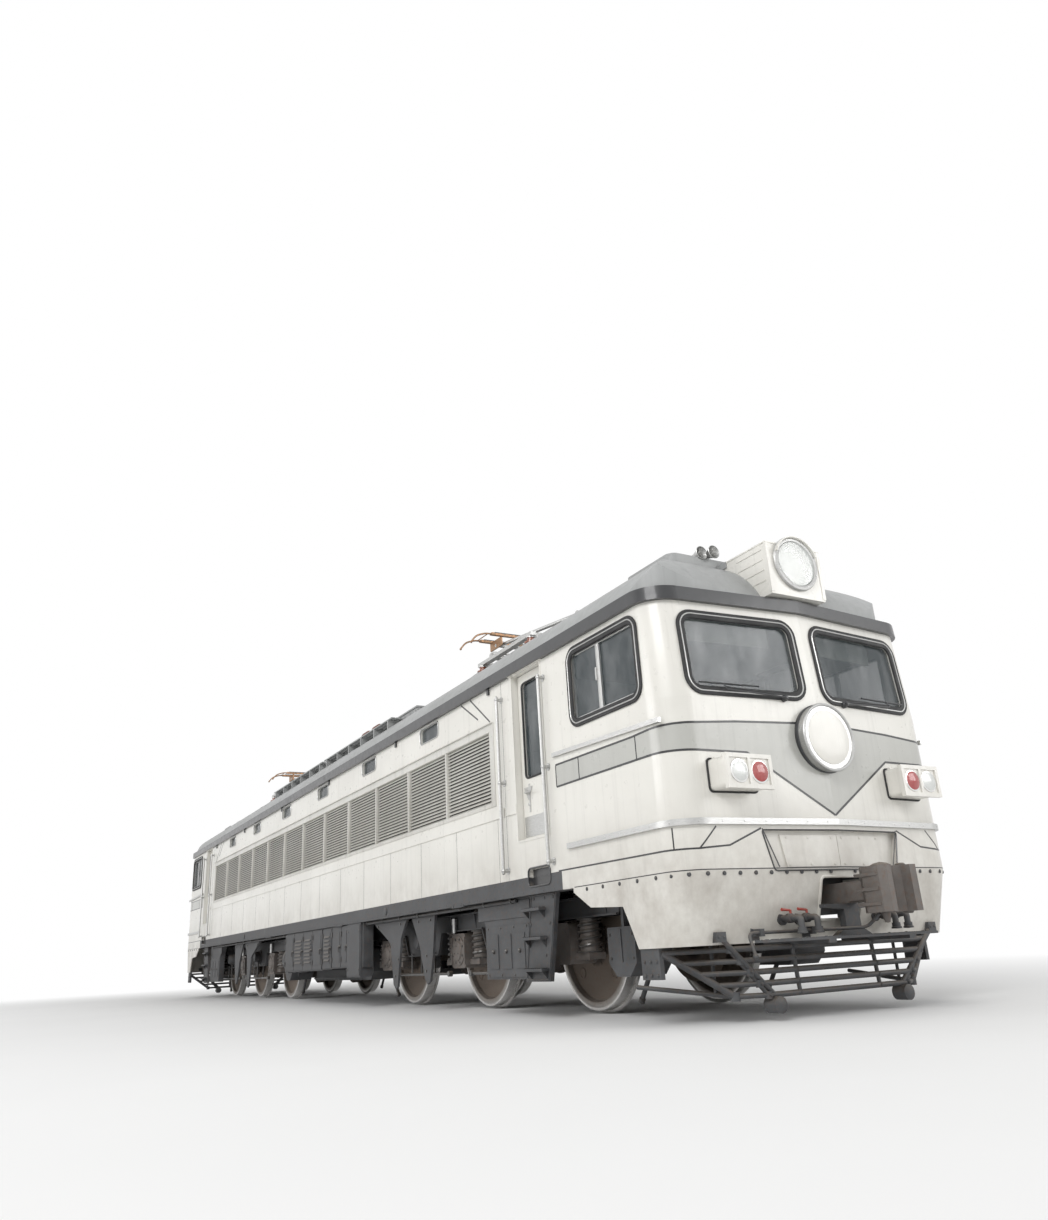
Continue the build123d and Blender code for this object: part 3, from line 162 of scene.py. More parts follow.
def painted(name, base, shade, rough=0.3, coat=0.35, grime=0.5, grime_top=1.5, streak=0.35):
    """Enamel on steel: slight shade changes, rain streaks, brake dust low down, orange peel."""
    s = Surface(name, base, rough, coat=coat)
    s.set(**{"Coat Roughness": 0.12})
    color = s.mix(s.ramp(s.noise(0.9, 5), (0.3, 0.0), (0.75, 1.0)), base, shade)
    rain = s.ramp(s.noise(1.6, 6, 0.7, (9, 9, 0.35)), (0.52, 0.0), (0.74, 1.0))
    color = s.mix(s.times(rain, streak), color, tint(shade, 0.55))
    low = s.maths("DIVIDE", s.maths("SUBTRACT", grime_top, s.xyz()["Z"]), 0.75, True)
    patch = s.ramp(s.noise(3.2, 8, 0.68), (0.3, 0.15), (0.7, 1.0))
    dust = s.times(s.times(low, patch), grime)
    wear = s.ramp(s.noise(14), (0.25, rough * 0.8), (0.8, min(rough * 1.45, 1.0)))
    height = s.maths("ADD", s.times(s.noise(160, 2), 0.15), s.noise(2.6, 2))
    color = s.mix(dust, color, (0.20, 0.155, 0.115))
    s.finish(color, s.mix(dust, wear, (0.85, 0.85, 0.85)), height, 0.35, 0.004)


def metal(name, base, dark, rough=0.35, scale=30, grain=(1, 1, 14), rust=0.15):
    """Bare metal with a directional grain, darker handling marks and small rust freckles."""
    s = Surface(name, base, rough, 0.9)
    lines = s.noise(scale, 6, 0.6, grain)
    color = s.mix(s.ramp(lines, (0.3, 0.0), (0.7, 1.0)), base, dark)
    spot = s.times(s.ramp(s.noise(42, 8, 0.7), (0.6, 0.0), (0.72, 1.0)), rust)
    worn = s.ramp(lines, (0.2, rough * 0.75), (0.8, min(rough * 1.6, 1.0)))
    s.finish(s.mix(spot, color, (0.22, 0.10, 0.05)), worn, lines, 0.25, 0.0015)


def dusty(name, base, rust_tone, rough=0.62, rust=0.55, pits=0.6, coat=0.0):
    """Running-gear paint under brake dust, oil and rust."""
    s = Surface(name, base, rough, 0.15, coat)
    big, small = s.noise(2.4, 6, 0.62), s.noise(26, 8, 0.7)
    color = s.mix(s.ramp(big, (0.35, 0.0), (0.7, 1.0)), base, tint(base, 1.7, 0.035))
    color = s.mix(s.times(s.ramp(small, (0.5, 0.0), (0.72, 1.0)), rust), color, rust_tone)
    color = s.mix(s.facing_up(0.55), color, (0.24, 0.20, 0.16))
    worn = s.ramp(big, (0.3, rough * 0.75), (0.8, min(rough * 1.4, 1.0)))
    s.finish(color, worn, s.maths("ADD", small, s.times(big, 0.4)), pits, 0.003)


def glass(name, color, alpha, film=0.25):
    """Clear pane that lets light through without refraction, with a dusty film."""
    s = Surface(name, color, 0.03, coat=0.6)
    cloud = s.noise(3.5, 6, 0.65, (1, 1, 0.4))
    dust = s.ramp(cloud, (0.4, 0.0), (0.85, 1.0))
    s.set(Alpha=s.maths("ADD", s.times(dust, film), alpha, True))
    rough = s.ramp(cloud, (0.4, 0.03), (0.9, 0.28))
    s.finish(s.mix(dust, color, tint(color, 0.6, 0.25)), rough, s.noise(1.4, 2), 0.12, 0.004)
    s.material.surface_render_method = "BLENDED"


def rubber(name, base, rough):
    """Matt rubber with a chalky bloom."""
    s = Surface(name, base, rough)
    fine = s.noise(60, 6, 0.7)
    chalk = s.times(s.ramp(s.noise(5, 6), (0.45, 0.0), (0.8, 1.0)), 0.35)
    worn = s.ramp(fine, (0.3, rough * 0.85), (0.7, min(rough * 1.25, 1)))
    s.finish(s.mix(chalk, base, (0.11, 0.11, 0.105)), worn, fine, 0.3, 0.0012)


def glazed(name, base, deep):
    """Insulator glaze: pools darker in the folds, strong highlight, soot film on top."""
    s = Surface(name, base, 0.14, coat=0.9)
    pool = s.noise(11)
    color = s.mix(s.ramp(pool, (0.35, 0.0), (0.7, 1.0)), base, deep)
    sheen = s.ramp(s.noise(30), (0.3, 0.1), (0.8, 0.3))
    s.finish(s.mix(s.facing_up(0.4), color, (0.06, 0.05, 0.045)), sheen, pool, 0.1, 0.002)


def leather(name, base):
    """Grained seat cover, paler where it is worn."""
    s = Surface(name, base)
    cell = s.node("TexVoronoi", "Distance", {"Scale": 260, "Vector": s.coord})
    worn = s.times(s.ramp(s.noise(6, 5), (0.4, 0.0), (0.8, 1.0)), 0.4)
    s.finish(s.mix(worn, base, tint(base, 2)), s.ramp(cell, (0.0, 0.65), (0.5, 0.42)), cell, 0.45, 0.0012)


def wheel_steel(name, x):
    """Wheel seen from its axle line: polished tread and flange, oily hub, dusty web."""
    s = Surface(name, (0.2, 0.19, 0.18), 0.45, 0.85)
    place = s.xyz()
    dx, dz = s.maths("SUBTRACT", place["X"], x), s.maths("SUBTRACT", place["Z"], AXLE_Z)
    radius = s.maths("SQRT", s.maths("ADD", s.times(dx, dx), s.times(dz, dz)))
    worn = s.maths("ADD", radius, s.times(s.noise(9), 0.02))
    hub, web, tread = (0.07, 0.06, 0.05), (0.17, 0.14, 0.115), (0.62, 0.61, 0.60)
    shape = s.ramp(worn, (0.0, (0.10, 0.085, 0.07)), (0.19, hub), (0.24, (0.21, 0.17, 0.14)), (0.53, web),
                   (0.585, (0.30, 0.28, 0.26)), (0.63, tread), (0.66, (0.50, 0.49, 0.48)))
    small = s.noise(34, 8, 0.7)
    spot = s.times(s.ramp(small, (0.5, 0.0), (0.7, 1.0)), 0.35)
    s.set(Metallic=s.ramp(worn, (0.52, 0.25), (0.61, 0.95)))
    color = s.mix(spot, shape, (0.17, 0.085, 0.045))
    s.finish(color, s.ramp(worn, (0.55, 0.75), (0.63, 0.22)), small, 0.35, 0.002)


CREAM, CREAM_SHADE = (0.80, 0.785, 0.735), (0.70, 0.685, 0.635)
painted("body_paint", CREAM, CREAM_SHADE, streak=0.22, grime_top=1.75)
painted("lamp_paint", CREAM, CREAM_SHADE, rough=0.28, streak=0.3, grime=0.2, grime_top=2.4)
painted("v_band", (0.50, 0.50, 0.47), (0.43, 0.43, 0.40), streak=0.22, grime=0.2, grime_top=1.9)
painted("pinstripe", (0.016, 0.016, 0.018), (0.032, 0.032, 0.034), rough=0.34, grime=0.1)
painted("roof_paint", (0.40, 0.41, 0.41), (0.31, 0.315, 0.31), rough=0.5, coat=0.1, streak=0.3, grime=0.0)
painted("trim_dark", (0.022, 0.023, 0.026), (0.04, 0.041, 0.043), rough=0.32, grime=0.15)
painted("louvre_paint", (0.70, 0.69, 0.65), (0.58, 0.57, 0.53), 0.42, 0.15, 0.3, 2.6, 0.5)
painted("cab_lining", (0.46, 0.50, 0.45), (0.38, 0.42, 0.37), rough=0.5, coat=0.0, streak=0.1, grime=0.0)
painted("desk_paint", (0.13, 0.16, 0.165), (0.09, 0.115, 0.12), rough=0.42, coat=0.1, streak=0.1, grime=0.0)
painted("dial_white", (0.75, 0.74, 0.68), (0.66, 0.65, 0.6), rough=0.35, grime=0.0)
painted("cock_red", (0.42, 0.035, 0.02), (0.30, 0.03, 0.02), rough=0.4, grime=0.4, grime_top=1.4)
dusty("frame_paint", (0.045, 0.047, 0.05), (0.13, 0.075, 0.045), rust=0.4)
dusty("cast_steel", (0.085, 0.075, 0.068), (0.16, 0.085, 0.045), rough=0.55, rust=0.5, pits=0.9)
dusty("oil_steel", (0.03, 0.028, 0.026), (0.08, 0.05, 0.03), rough=0.32, rust=0.25, pits=0.35, coat=0.3)
metal("bright_steel", (0.60, 0.60, 0.59), (0.42, 0.42, 0.41), rough=0.3, rust=0.1)
metal("wheel_steel", (0.34, 0.33, 0.32), (0.2, 0.19, 0.18), rough=0.4)
metal("copper", (0.46, 0.24, 0.13), (0.20, 0.17, 0.12), rough=0.38, grain=(14, 1, 1), rust=0.1)
metal("reflector", (0.86, 0.86, 0.85), (0.72, 0.72, 0.70), rough=0.12, rust=0.0, scale=60)
glass("glass", (0.055, 0.075, 0.085), 0.42)
glass("lens_glass", (0.80, 0.82, 0.80), 0.62, 0.2)
glass("red_lens", (0.42, 0.02, 0.018), 0.85, 0.1)
rubber("seal_rubber", (0.018, 0.018, 0.019), 0.62)
rubber("cable_black", (0.024, 0.024, 0.025), 0.5)
glazed("insulator_glaze", (0.30, 0.085, 0.035), (0.14, 0.035, 0.018))
leather("seat_cover", (0.035, 0.032, 0.035))

for subpart in frame["record"]["subparts"]:
    materials = frame["nodes"][subpart["node"]].data.materials
    materials.clear()
    materials.append(LOOKS[subpart["material_slot"]])
for number, wheel in enumerate(WHEELS, 1):
    wheel_steel(f"wheel_{number}", wheel.x)
    frame["nodes"][f"wheelset_{number}"].data.materials[0] = LOOKS[f"wheel_{number}"]

# Mesh helper
SLOTS = {material["slot"] for material in frame["record"]["materials"]}


class Piece:
    """Gathers solids into one mesh that rides on a CAD body.

    Each point and direction handed to it is multiplied by the mirror (end, side, 1), so that one description,
    mostly of the front end's right side with y below zero, serves both ends and both sides.
    """

    def __init__(self, name, look, body="body", slot=None, bevel=0.0, end=1):
        self.name, self.look, self.body, self.bevel = name, look, body, bevel
        self.slot = slot or (look if look in SLOTS else None)
        self.mirror = (end, 1, 1)
        self.bm = bmesh.new()

    def place(self, point):
        """Point or direction under the mirror in force."""
        return Vector([a * b for a, b in zip(point, self.mirror)])

    def ring(self, points):
        """New corners of the mesh at points that are mirrored already."""
        return [self.bm.verts.new(p) for p in points]

    def circle(self, centre, u, v, sides):
        turns = [2 * math.pi * i / sides for i in range(sides)]
        return self.ring([centre + u * math.cos(t) + v * math.sin(t) for t in turns])

    def bridge(self, a, b):
        for i in range(len(a)):
            j = (i + 1) % len(a)
            self.bm.faces.new((a[i], a[j], b[j], b[i]))

    def loft(self, rings, closed=False):
        """Skin over rings of equal length, capped at both ends or joined to itself."""
        for a, b in zip(rings, rings[1:]):
            self.bridge(a, b)
        if closed:
            self.bridge(rings[-1], rings[0])
        else:
            self.bm.faces.new(rings[0])
            self.bm.faces.new(rings[-1])

    def box(self, a, b):
        a, b = self.place(a), self.place(b)
        x, y, z = [(min(pair), max(pair)) for pair in zip(a, b)]
        base = ((x[0], y[0]), (x[1], y[0]), (x[1], y[1]), (x[0], y[1]))
        self.loft([self.ring([(*corner, height) for corner in base]) for height in z])

    def prism(self, points, depth):
        """Outline of 3-D points pushed along the vector depth."""
        points = [self.place(p) for p in points]
        self.loft([self.ring(points), self.ring([p + self.place(depth) for p in points])])

    def lathe(self, start, axis, profile, sides=24, hollow=False):
        """Profile of (distance along axis, radius) turned about the axis; a hollow one closes on itself."""
        start, axis = self.place(start), self.place(axis).normalized()
        u = axis.orthogonal().normalized()
        v = axis.cross(u)
        rings = []
        for along, radius in profile:
            centre = start + axis * along
            if radius < 1e-6:
                rings.append(self.ring([centre]))
            else:
                rings.append(self.circle(centre, u * radius, v * radius, sides))
        for a, b in zip(rings, rings[1:] + rings[:1] if hollow else rings[1:]):
            if len(a) == len(b):
                self.bridge(a, b)
                continue
            tip, loop = (a[0], b) if len(a) == 1 else (b[0], a)
            for i in range(sides):
                self.bm.faces.new((tip, loop[i], loop[(i + 1) % sides]))
        for loop in () if hollow else (rings[0], rings[-1]):
            if len(loop) > 1:
                self.bm.faces.new(loop)

    def rod(self, a, b, r, sides=12, end_r=None):
        run = Vector(b) - Vector(a)
        self.lathe(a, run, ((0, r), (run.length, end_r or r)), sides)

    def disc(self, at, axis, r, thick, sides=24):
        self.lathe(at, axis, ((0, r), (thick, r)), sides)

    def tube(self, path, r, sides=8, closed=False, turn=0.0):
        """Round pipe along a path; turn rounds the corners by that radius."""
        path = [self.place(p) for p in path]
        if turn:
            path = rounded(path, turn, closed)
        rings = []
        u = None
        for i, p in enumerate(path):
            before = path[i - 1] if i or closed else p
            after = path[(i + 1) % len(path)] if i < len(path) - 1 or closed else p
            run = (after - before).normalized()
            u = u or run.orthogonal()
            u = (u - run * u.dot(run)).normalized()
            rings.append(self.circle(p, u * r, run.cross(u) * r, sides))
        self.loft(rings, closed)

    def strip(self, rows, depths):
        """Thin skin between two lines given as pairs (upper, lower), thickened by each pair's vector."""
        rings = []
        for (upper, lower), depth in zip(rows, depths):
            upper, lower, depth = self.place(upper), self.place(lower), self.place(depth)
            rings.append(self.ring((upper, lower, lower + depth, upper + depth)))
        self.loft(rings)

    def bolts(self, places, normal, r=0.012, h=0.008, washer=True):
        """Hexagon heads, with washers under them."""
        for at in places:
            if washer:
                self.disc(Vector(at) - normal * 0.002, normal, r * 1.45, 0.005, 12)
            self.lathe(at, normal, ((0, r), (h * 0.75, r), (h, r * 0.72)), 6)

    def rivets(self, places, normal, r, h):
        for at in places:
            self.lathe(Vector(at) - normal * 0.001, normal, ((0, r), (h * 0.6, r * 0.8), (h, 0)), 8)

    def helix(self, base, radius, wire, height, turns, steps=16):
        """Upright coil, of the same hand wherever it is mirrored to."""
        path = []
        total = int(turns * steps)
        for i in range(total + 1):
            t = 2 * math.pi * i / steps
            offset = (radius * math.cos(t), radius * math.sin(t), height * i / total)
            path.append(Vector(base) + self.place(offset))
        self.tube(path, wire, 7)

    def ball(self, centre, r, sides=14):
        angles = [math.pi * i / 8 for i in range(1, 8)]
        profile = [(r - r * math.cos(a), r * math.sin(a)) for a in angles]
        self.lathe(Vector(centre) - UP * r, UP, ((0, 0), *profile, (2 * r, 0)), sides)

    def done(self, smooth=32):
        """Makes the object, with edges sharper than the angle smooth left hard, and hands it to its body."""
        bm = self.bm
        if self.bevel:
            edges = [e for e in bm.edges if len(e.link_faces) == 2 and e.calc_length() > self.bevel * 3
                     and e.calc_face_angle(0) > math.radians(50)]
            bmesh.ops.bevel(bm, geom=edges, offset=self.bevel, segments=2, affect="EDGES", clamp_overlap=True)
        bmesh.ops.recalc_face_normals(bm, faces=bm.faces[:])
        mesh = bpy.data.meshes.new(self.name)
        bm.to_mesh(mesh)
        bm.free()
        mesh.materials.append(LOOKS[self.look])
        mesh.shade_smooth()
        mesh.set_sharp_from_angle(angle=math.radians(smooth))
        obj = bpy.data.objects.new(self.name, mesh)
        bpy.context.scene.collection.objects.link(obj)
        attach(obj, self.body)
        return obj


def done(*pieces):
    for piece in pieces:
        piece.done()


def sides(end, *pieces):
    """Turns the pieces to the right side and then to the left, for one end."""
    for side in (1, -1):
        for piece in pieces:
            piece.mirror = (end, side, 1)
        yield side


def corners(*pieces):
    """Turns the pieces to the four corners in turn."""
    for end in (1, -1):
        for side in sides(end, *pieces):
            yield end, side


def rounded(path, turn, closed, steps=5):
    """Corner points of a path replaced by short arcs."""
    out = []
    for i, p in enumerate(path):
        a, b = path[i - 1] - p, path[(i + 1) % len(path)] - p
        open_end = not closed and i in (0, len(path) - 1)
        if open_end or a.normalized().cross(b.normalized()).length < 0.02:
            out.append(p)
            continue
        r = min(turn, a.length * 0.45, b.length * 0.45)
        start, stop = p + a.normalized() * r, p + b.normalized() * r
        for t in [k / steps for k in range(steps + 1)]:
            out.append((1 - t) ** 2 * start + 2 * t * (1 - t) * p + t * t * stop)
    return out


def around(centre, radius, count, plane, start=0.0):
    """Points evenly round a circle in the plane of two axes, such as "xz", from an angle in degrees."""
    points = []
    for k in range(count):
        angle = math.radians(start + 360 * k / count)
        point = Vector(centre)
        point["xyz".index(plane[0])] += radius * math.cos(angle)
        point["xyz".index(plane[1])] += radius * math.sin(angle)
        points.append(point)
    return points


def spread(first, step, count):
    return [first + step * k for k in range(count)]


def grid(xs, ys, zs):
    return [(x, y, z) for x in xs for y in ys for z in zs]


def rectangle(x0, x1, z0, z1, y):
    """Corners of an upright rectangle along the body."""
    return [(x, y, z) for x, z in ((x0, z0), (x1, z0), (x1, z1), (x0, z1))]


def round_corners(u0, u1, v0, v1, r, steps=6):
    """Rounded rectangle as (u, v) points."""
    points = []
    centres = ((u1 - r, v1 - r), (u0 + r, v1 - r), (u0 + r, v0 + r), (u1 - r, v0 + r))
    for quarter, (u, v) in enumerate(centres):
        for i in range(steps + 1):
            a = math.pi / 2 * (quarter + i / steps)
            points.append((u + r * math.cos(a), v + r * math.sin(a)))
    return points


# Cab surface: two flat facets meet at the centreline, and an arc leads each into the side wall
SLOPE = math.atan(FACET)
TURN = math.pi / 2 - SLOPE
TRIM = CORNER_R * math.tan(TURN / 2)
CORNER_X = NOSE_X - FACET * HALF_W - TRIM
FACET_LENGTH = HALF_W / math.cos(SLOPE) - TRIM
FACET_NORMAL = Vector((math.cos(SLOPE), -math.sin(SLOPE), 0))


def on_face(y, z, out=0.0):
    """Point on the front face, y to the right of the centreline; the face leans back above the waist."""
    return Vector((NOSE_X + out - FACET * abs(y) - LEAN * max(z - WAIST_Z, 0), -y, z))


def front(y):
    """Distance round the cab from the centreline to y on the front."""
    return y / math.cos(SLOPE)


def flank(x):
    """Distance round the cab to x on the side wall; the same sum turns that distance back into x."""
    return FACET_LENGTH + CORNER_R * TURN + CORNER_X - x


def arc_point(s):
    """Place and normal on the cab's plan, below the waist, by the distance s from the centreline."""
    if s < FACET_LENGTH:
        y = s * math.cos(SLOPE)
        return Vector((NOSE_X - FACET * y, -y, 0)), FACET_NORMAL
    if s < FACET_LENGTH + CORNER_R * TURN:
        a = -SLOPE - (s - FACET_LENGTH) / CORNER_R
        n = Vector((math.cos(a), math.sin(a), 0))
        return Vector((CORNER_X, CORNER_R - HALF_W, 0)) + n * CORNER_R, n
    return Vector((flank(s), -HALF_W, 0)), OUTWARD


def dense(points, by_s=False):
    """Points of a polyline with no gap over 3 cm, measured along it or along s alone."""
    out = []
    for a, b in zip(points, points[1:]):
        gap = abs(b.x - a.x) if by_s else (b - a).length
        n = max(1, math.ceil(gap / 0.03))
        out += [a.lerp(b, i / n) for i in range(n)]
    return out + [points[-1]]


def skin_strip(piece, pairs, depth, lift):
    """Thin strip on the cab's skin between pairs of (s, z) points."""
    rows, depths = [], []
    for upper, lower in pairs:
        row = []
        for s, z in (upper, lower):
            at, n = arc_point(max(s, 0.0))
            row.append(at + n * lift + UP * z)
        rows.append(row)
        depths.append(arc_point(max((upper[0] + lower[0]) / 2, 0.0))[1] * depth)
    piece.strip(rows, depths)


def stripe(piece, points, width, lift=0.0, depth=STRIPE):
    """Painted line of even width along (s, z) points on the cab's skin."""
    points = dense([Vector(p) for p in points])
    pairs = []
    for i, p in enumerate(points):
        run = (points[min(i + 1, len(points) - 1)] - points[max(i - 1, 0)]).normalized()
        across = Vector((-run.y, run.x)) * width / 2
        pairs.append((p + across, p - across))
    skin_strip(piece, pairs, depth, lift)


def livery(name, end):
    """V band round the cab, its dark edges and the fine lines below it."""
    band = Piece(f"livery_band_{name}", "v_band", slot="body_paint")
    lines = Piece(f"livery_lines_{name}", "pinstripe", slot="trim_dark")
    back, bend, z_low = flank(8.36), front(1.3), 2.035
    stations = ((0.0, 2.31, 1.531), (front(0.82), 2.287, 2.03), (bend, 2.26, z_low),
                (flank(9.6), 2.235, z_low), (back, 2.24, z_low))
    upper = ((0.0, 2.31), (front(0.9), 2.285), (bend, 2.26), (flank(9.6), 2.235), (back, 2.24))
    lower = ((0.0, 1.531), (front(0.82), 2.03), (bend, z_low), (back, z_low))
    hem, pocket = (front(1.38), 1.27), (front(0.775), 1.42)
    for _ in sides(end, band, lines):
        pairs = [((s, top), (s, foot)) for s, top, foot in dense([Vector(p) for p in stations], True)]
        skin_strip(band, pairs, SKIN, 0.0)
        stripe(lines, upper, 0.018, SKIN)
        stripe(lines, lower, 0.018, SKIN)
        for x in (8.36, 8.76, 9.65):
            stripe(lines, ((flank(x), 2.037), (flank(x), 2.236)), 0.014, SKIN)
        stripe(lines, ((flank(8.30), 1.276), (flank(9.6), 1.2715), hem, (front(1.105), 1.291),
                       (front(0.785), 1.422)), 0.014)
        stripe(lines, ((flank(9.98), 1.271), (flank(9.98), 1.436)), 0.012)
        stripe(lines, ((front(1.214), 1.436), hem), 0.012)
        stripe(lines, (pocket, (front(0.655), 1.12)), 0.012)
    done(band, lines)


def window_trim(name, end):
    """Rubber lips and a bright bead round each windscreen and cab side window."""
    beads = Piece(f"screen_beads_{name}", "bright_steel")
    lips = Piece(f"screen_lips_{name}", "seal_rubber")
    on_front = ((beads, 0.028, 0.121, 0.0145, 0.0065), (lips, 0.061, 0.09, 0.004, 0.012),
                (lips, 0, 0.15, 0.008, 0.008))
    on_flank = ((beads, 0.028, 0.111, 0.0145, 0.0065), (lips, 0.061, 0.08, 0.003, 0.011),
                (lips, 0, 0.139, 0.008, 0.008))
    for _ in sides(end, beads, lips):
        for piece, inset, corner, out, wire in on_front:
            points = round_corners(0.094 + inset, 1.330 - inset, 2.504 + inset, 3.253 - inset, corner)
            piece.tube([on_face(y, z, out) for y, z in points], wire, closed=True)
        for piece, inset, corner, out, wire in on_flank:
            points = round_corners(8.681 + inset, 9.824 - inset, 2.515 + inset, 3.279 - inset, corner)
            piece.tube([(x, -HALF_W - out, z) for x, z in points], wire, closed=True)
    done(beads, lips)


def sliding_frames(name, end):
    """Bars and latch of the cab's sliding side window."""
    frames = Piece(f"sliding_frames_{name}", "bright_steel", bevel=0.003)
    y = 0.012 - HALF_W
    for _ in sides(end, frames):
        for x0, x1 in ((9.172, 9.212), (9.158, 9.168), (8.748, 8.768), (9.737, 9.757)):
            frames.box((x0, y, 2.578), (x1, y + 0.022, 3.216))
        for z in (2.578, 3.194):
            frames.box((8.75, y + 0.002, z), (9.755, y + 0.02, z + 0.022))
        frames.box((9.14, y - 0.008, 2.86), (9.157, y + 0.004, 2.98))
    frames.done()


def wipers(name, end):
    """Wiper on each windscreen: hub, arm, parallel rod and blade."""
    piece = Piece(f"wipers_{name}", "trim_dark")
    blade_z, arm_y = 2.598, 0.98
    n = FACET_NORMAL
    for _ in sides(end, piece):
        hub, tip = on_face(0.36, 2.512, 0.004), on_face(arm_y, 2.545, 0.056)
        piece.lathe(hub, n, ((0, 0.032), (0.022, 0.030), (0.034, 0.020), (0.05, 0.018), (0.056, 0.010)), 16)
        piece.rod(hub + n * 0.044, tip, 0.0085, 8, 0.006)
        piece.rod(hub + n * 0.03 + UP * 0.022, tip + UP * 0.02, 0.0045, 6)
        a, b = on_face(0.62, blade_z, 0.030), on_face(1.22, blade_z, 0.030)
        piece.rod(a, b, 0.0075, 8)
        piece.rod(a - n * 0.016, b - n * 0.016, 0.004, 6)
        piece.rod(tip, on_face(arm_y, blade_z, 0.034), 0.006, 6)
    piece.done()


def nose_disc(name, end):
    """Rim, bare face and collar of the round disc on the nose."""
    x, z = HIGH["nose_discs"].x, 2.178
    rim = Piece(f"disc_rim_{name}", "bright_steel", end=end)
    profile = ((0, 0.2885), (0.004, 0.2965), (0.012, 0.2985), (0.022, 0.293), (0.025, 0.284), (0.020, 0.274),
               (0.012, 0.271))
    rim.lathe((x - 0.012, 0, z), FORWARD, profile, 64, True)
    rim.rivets(around((x, 0, z), 0.252, 10, "yz", 18), FORWARD, 0.009, 0.005)
    face = Piece(f"disc_face_{name}", "lamp_paint", end=end)
    dome = ((0, 0.236), (0.006, 0.234), (0.011, 0.205), (0.0135, 0.13), (0.0145, 0))
    face.lathe((x - 0.002, 0, z), FORWARD, dome, 64)
    collar = Piece(f"disc_collar_{name}", "trim_dark", end=end)
    collar.lathe((NOSE_X - 0.024, 0, z), FORWARD, ((0, 0.300), (0.028, 0.300), (0.034, 0.292)), 48)
    done(rim, face, collar)


def marker_lamps(name, end):
    """Bezel, mirrors, red and clear lens, gasket and hinges of the lamp box on each side of the nose."""
    bezels = Piece(f"marker_bezels_{name}", "lamp_paint", bevel=0.004)
    rubbers = Piece(f"marker_gaskets_{name}", "seal_rubber")
    mirrors = Piece(f"marker_reflectors_{name}", "reflector", slot="bright_steel")
    white = Piece(f"marker_lenses_{name}", "lens_glass")
    red = Piece(f"tail_lenses_{name}", "red_lens", slot="lens_glass")
    x = HIGH["marker_lamps"].x
    y0, y1, z0, z1, rim, lap, post = 0.775, 1.225, 1.708, 1.958, 0.012, 0.022, 0.015
    y_mid, z_mid = (y0 + y1) / 2, (z0 + z1) / 2
    dome = ((0, 0.084), (0.010, 0.081), (0.019, 0.060), (0.024, 0.032), (0.026, 0))
    bars = ((y0 - rim, y1 + rim, z1 - lap, z1 + rim), (y0 - rim, y1 + rim, z0 - rim, z0 + lap),
            (y0 - rim, y0 + lap, z0 + lap, z1 - lap), (y1 - lap, y1 + rim, z0 + lap, z1 - lap),
            (y_mid - post, y_mid + post, z0 + lap, z1 - lap))
    for _ in sides(end, bezels, rubbers, mirrors, white, red):
        for a, b, low, high in bars:
            bezels.box((x - 0.03, -a, low), (x + 0.012, -b, high))
        for y, lens in ((0.895, red), (1.105, white)):
            centre = (x - 0.003, -y, z_mid)
            mirrors.lathe(centre, FORWARD, ((0, 0.092), (0.008, 0.094), (0.011, 0.086)), 32)
            lens.lathe((x, -y, z_mid), FORWARD, dome, 32)
            bezels.rivets(around((x - 0.001, -y, z_mid), 0.1, 4, "yz", 45), FORWARD, 0.006, 0.004)
        low, high = z0 - 0.006, z1 + 0.006
        frame_corners = ((y0 - 0.006, low), (y1 + 0.006, low), (y1 + 0.006, high), (y0 - 0.006, high))
        rubbers.tube([on_face(y, z, 0.004) for y, z in frame_corners], 0.009, closed=True, turn=0.035)
        for y in (0.83, 1.17):
            hinge = on_face(y, 1.975)
            bezels.box(hinge + Vector((-0.01, 0.016, -0.017)), hinge + Vector((0.045, -0.016, -0.003)))
    done(bezels, rubbers, mirrors, white, red)


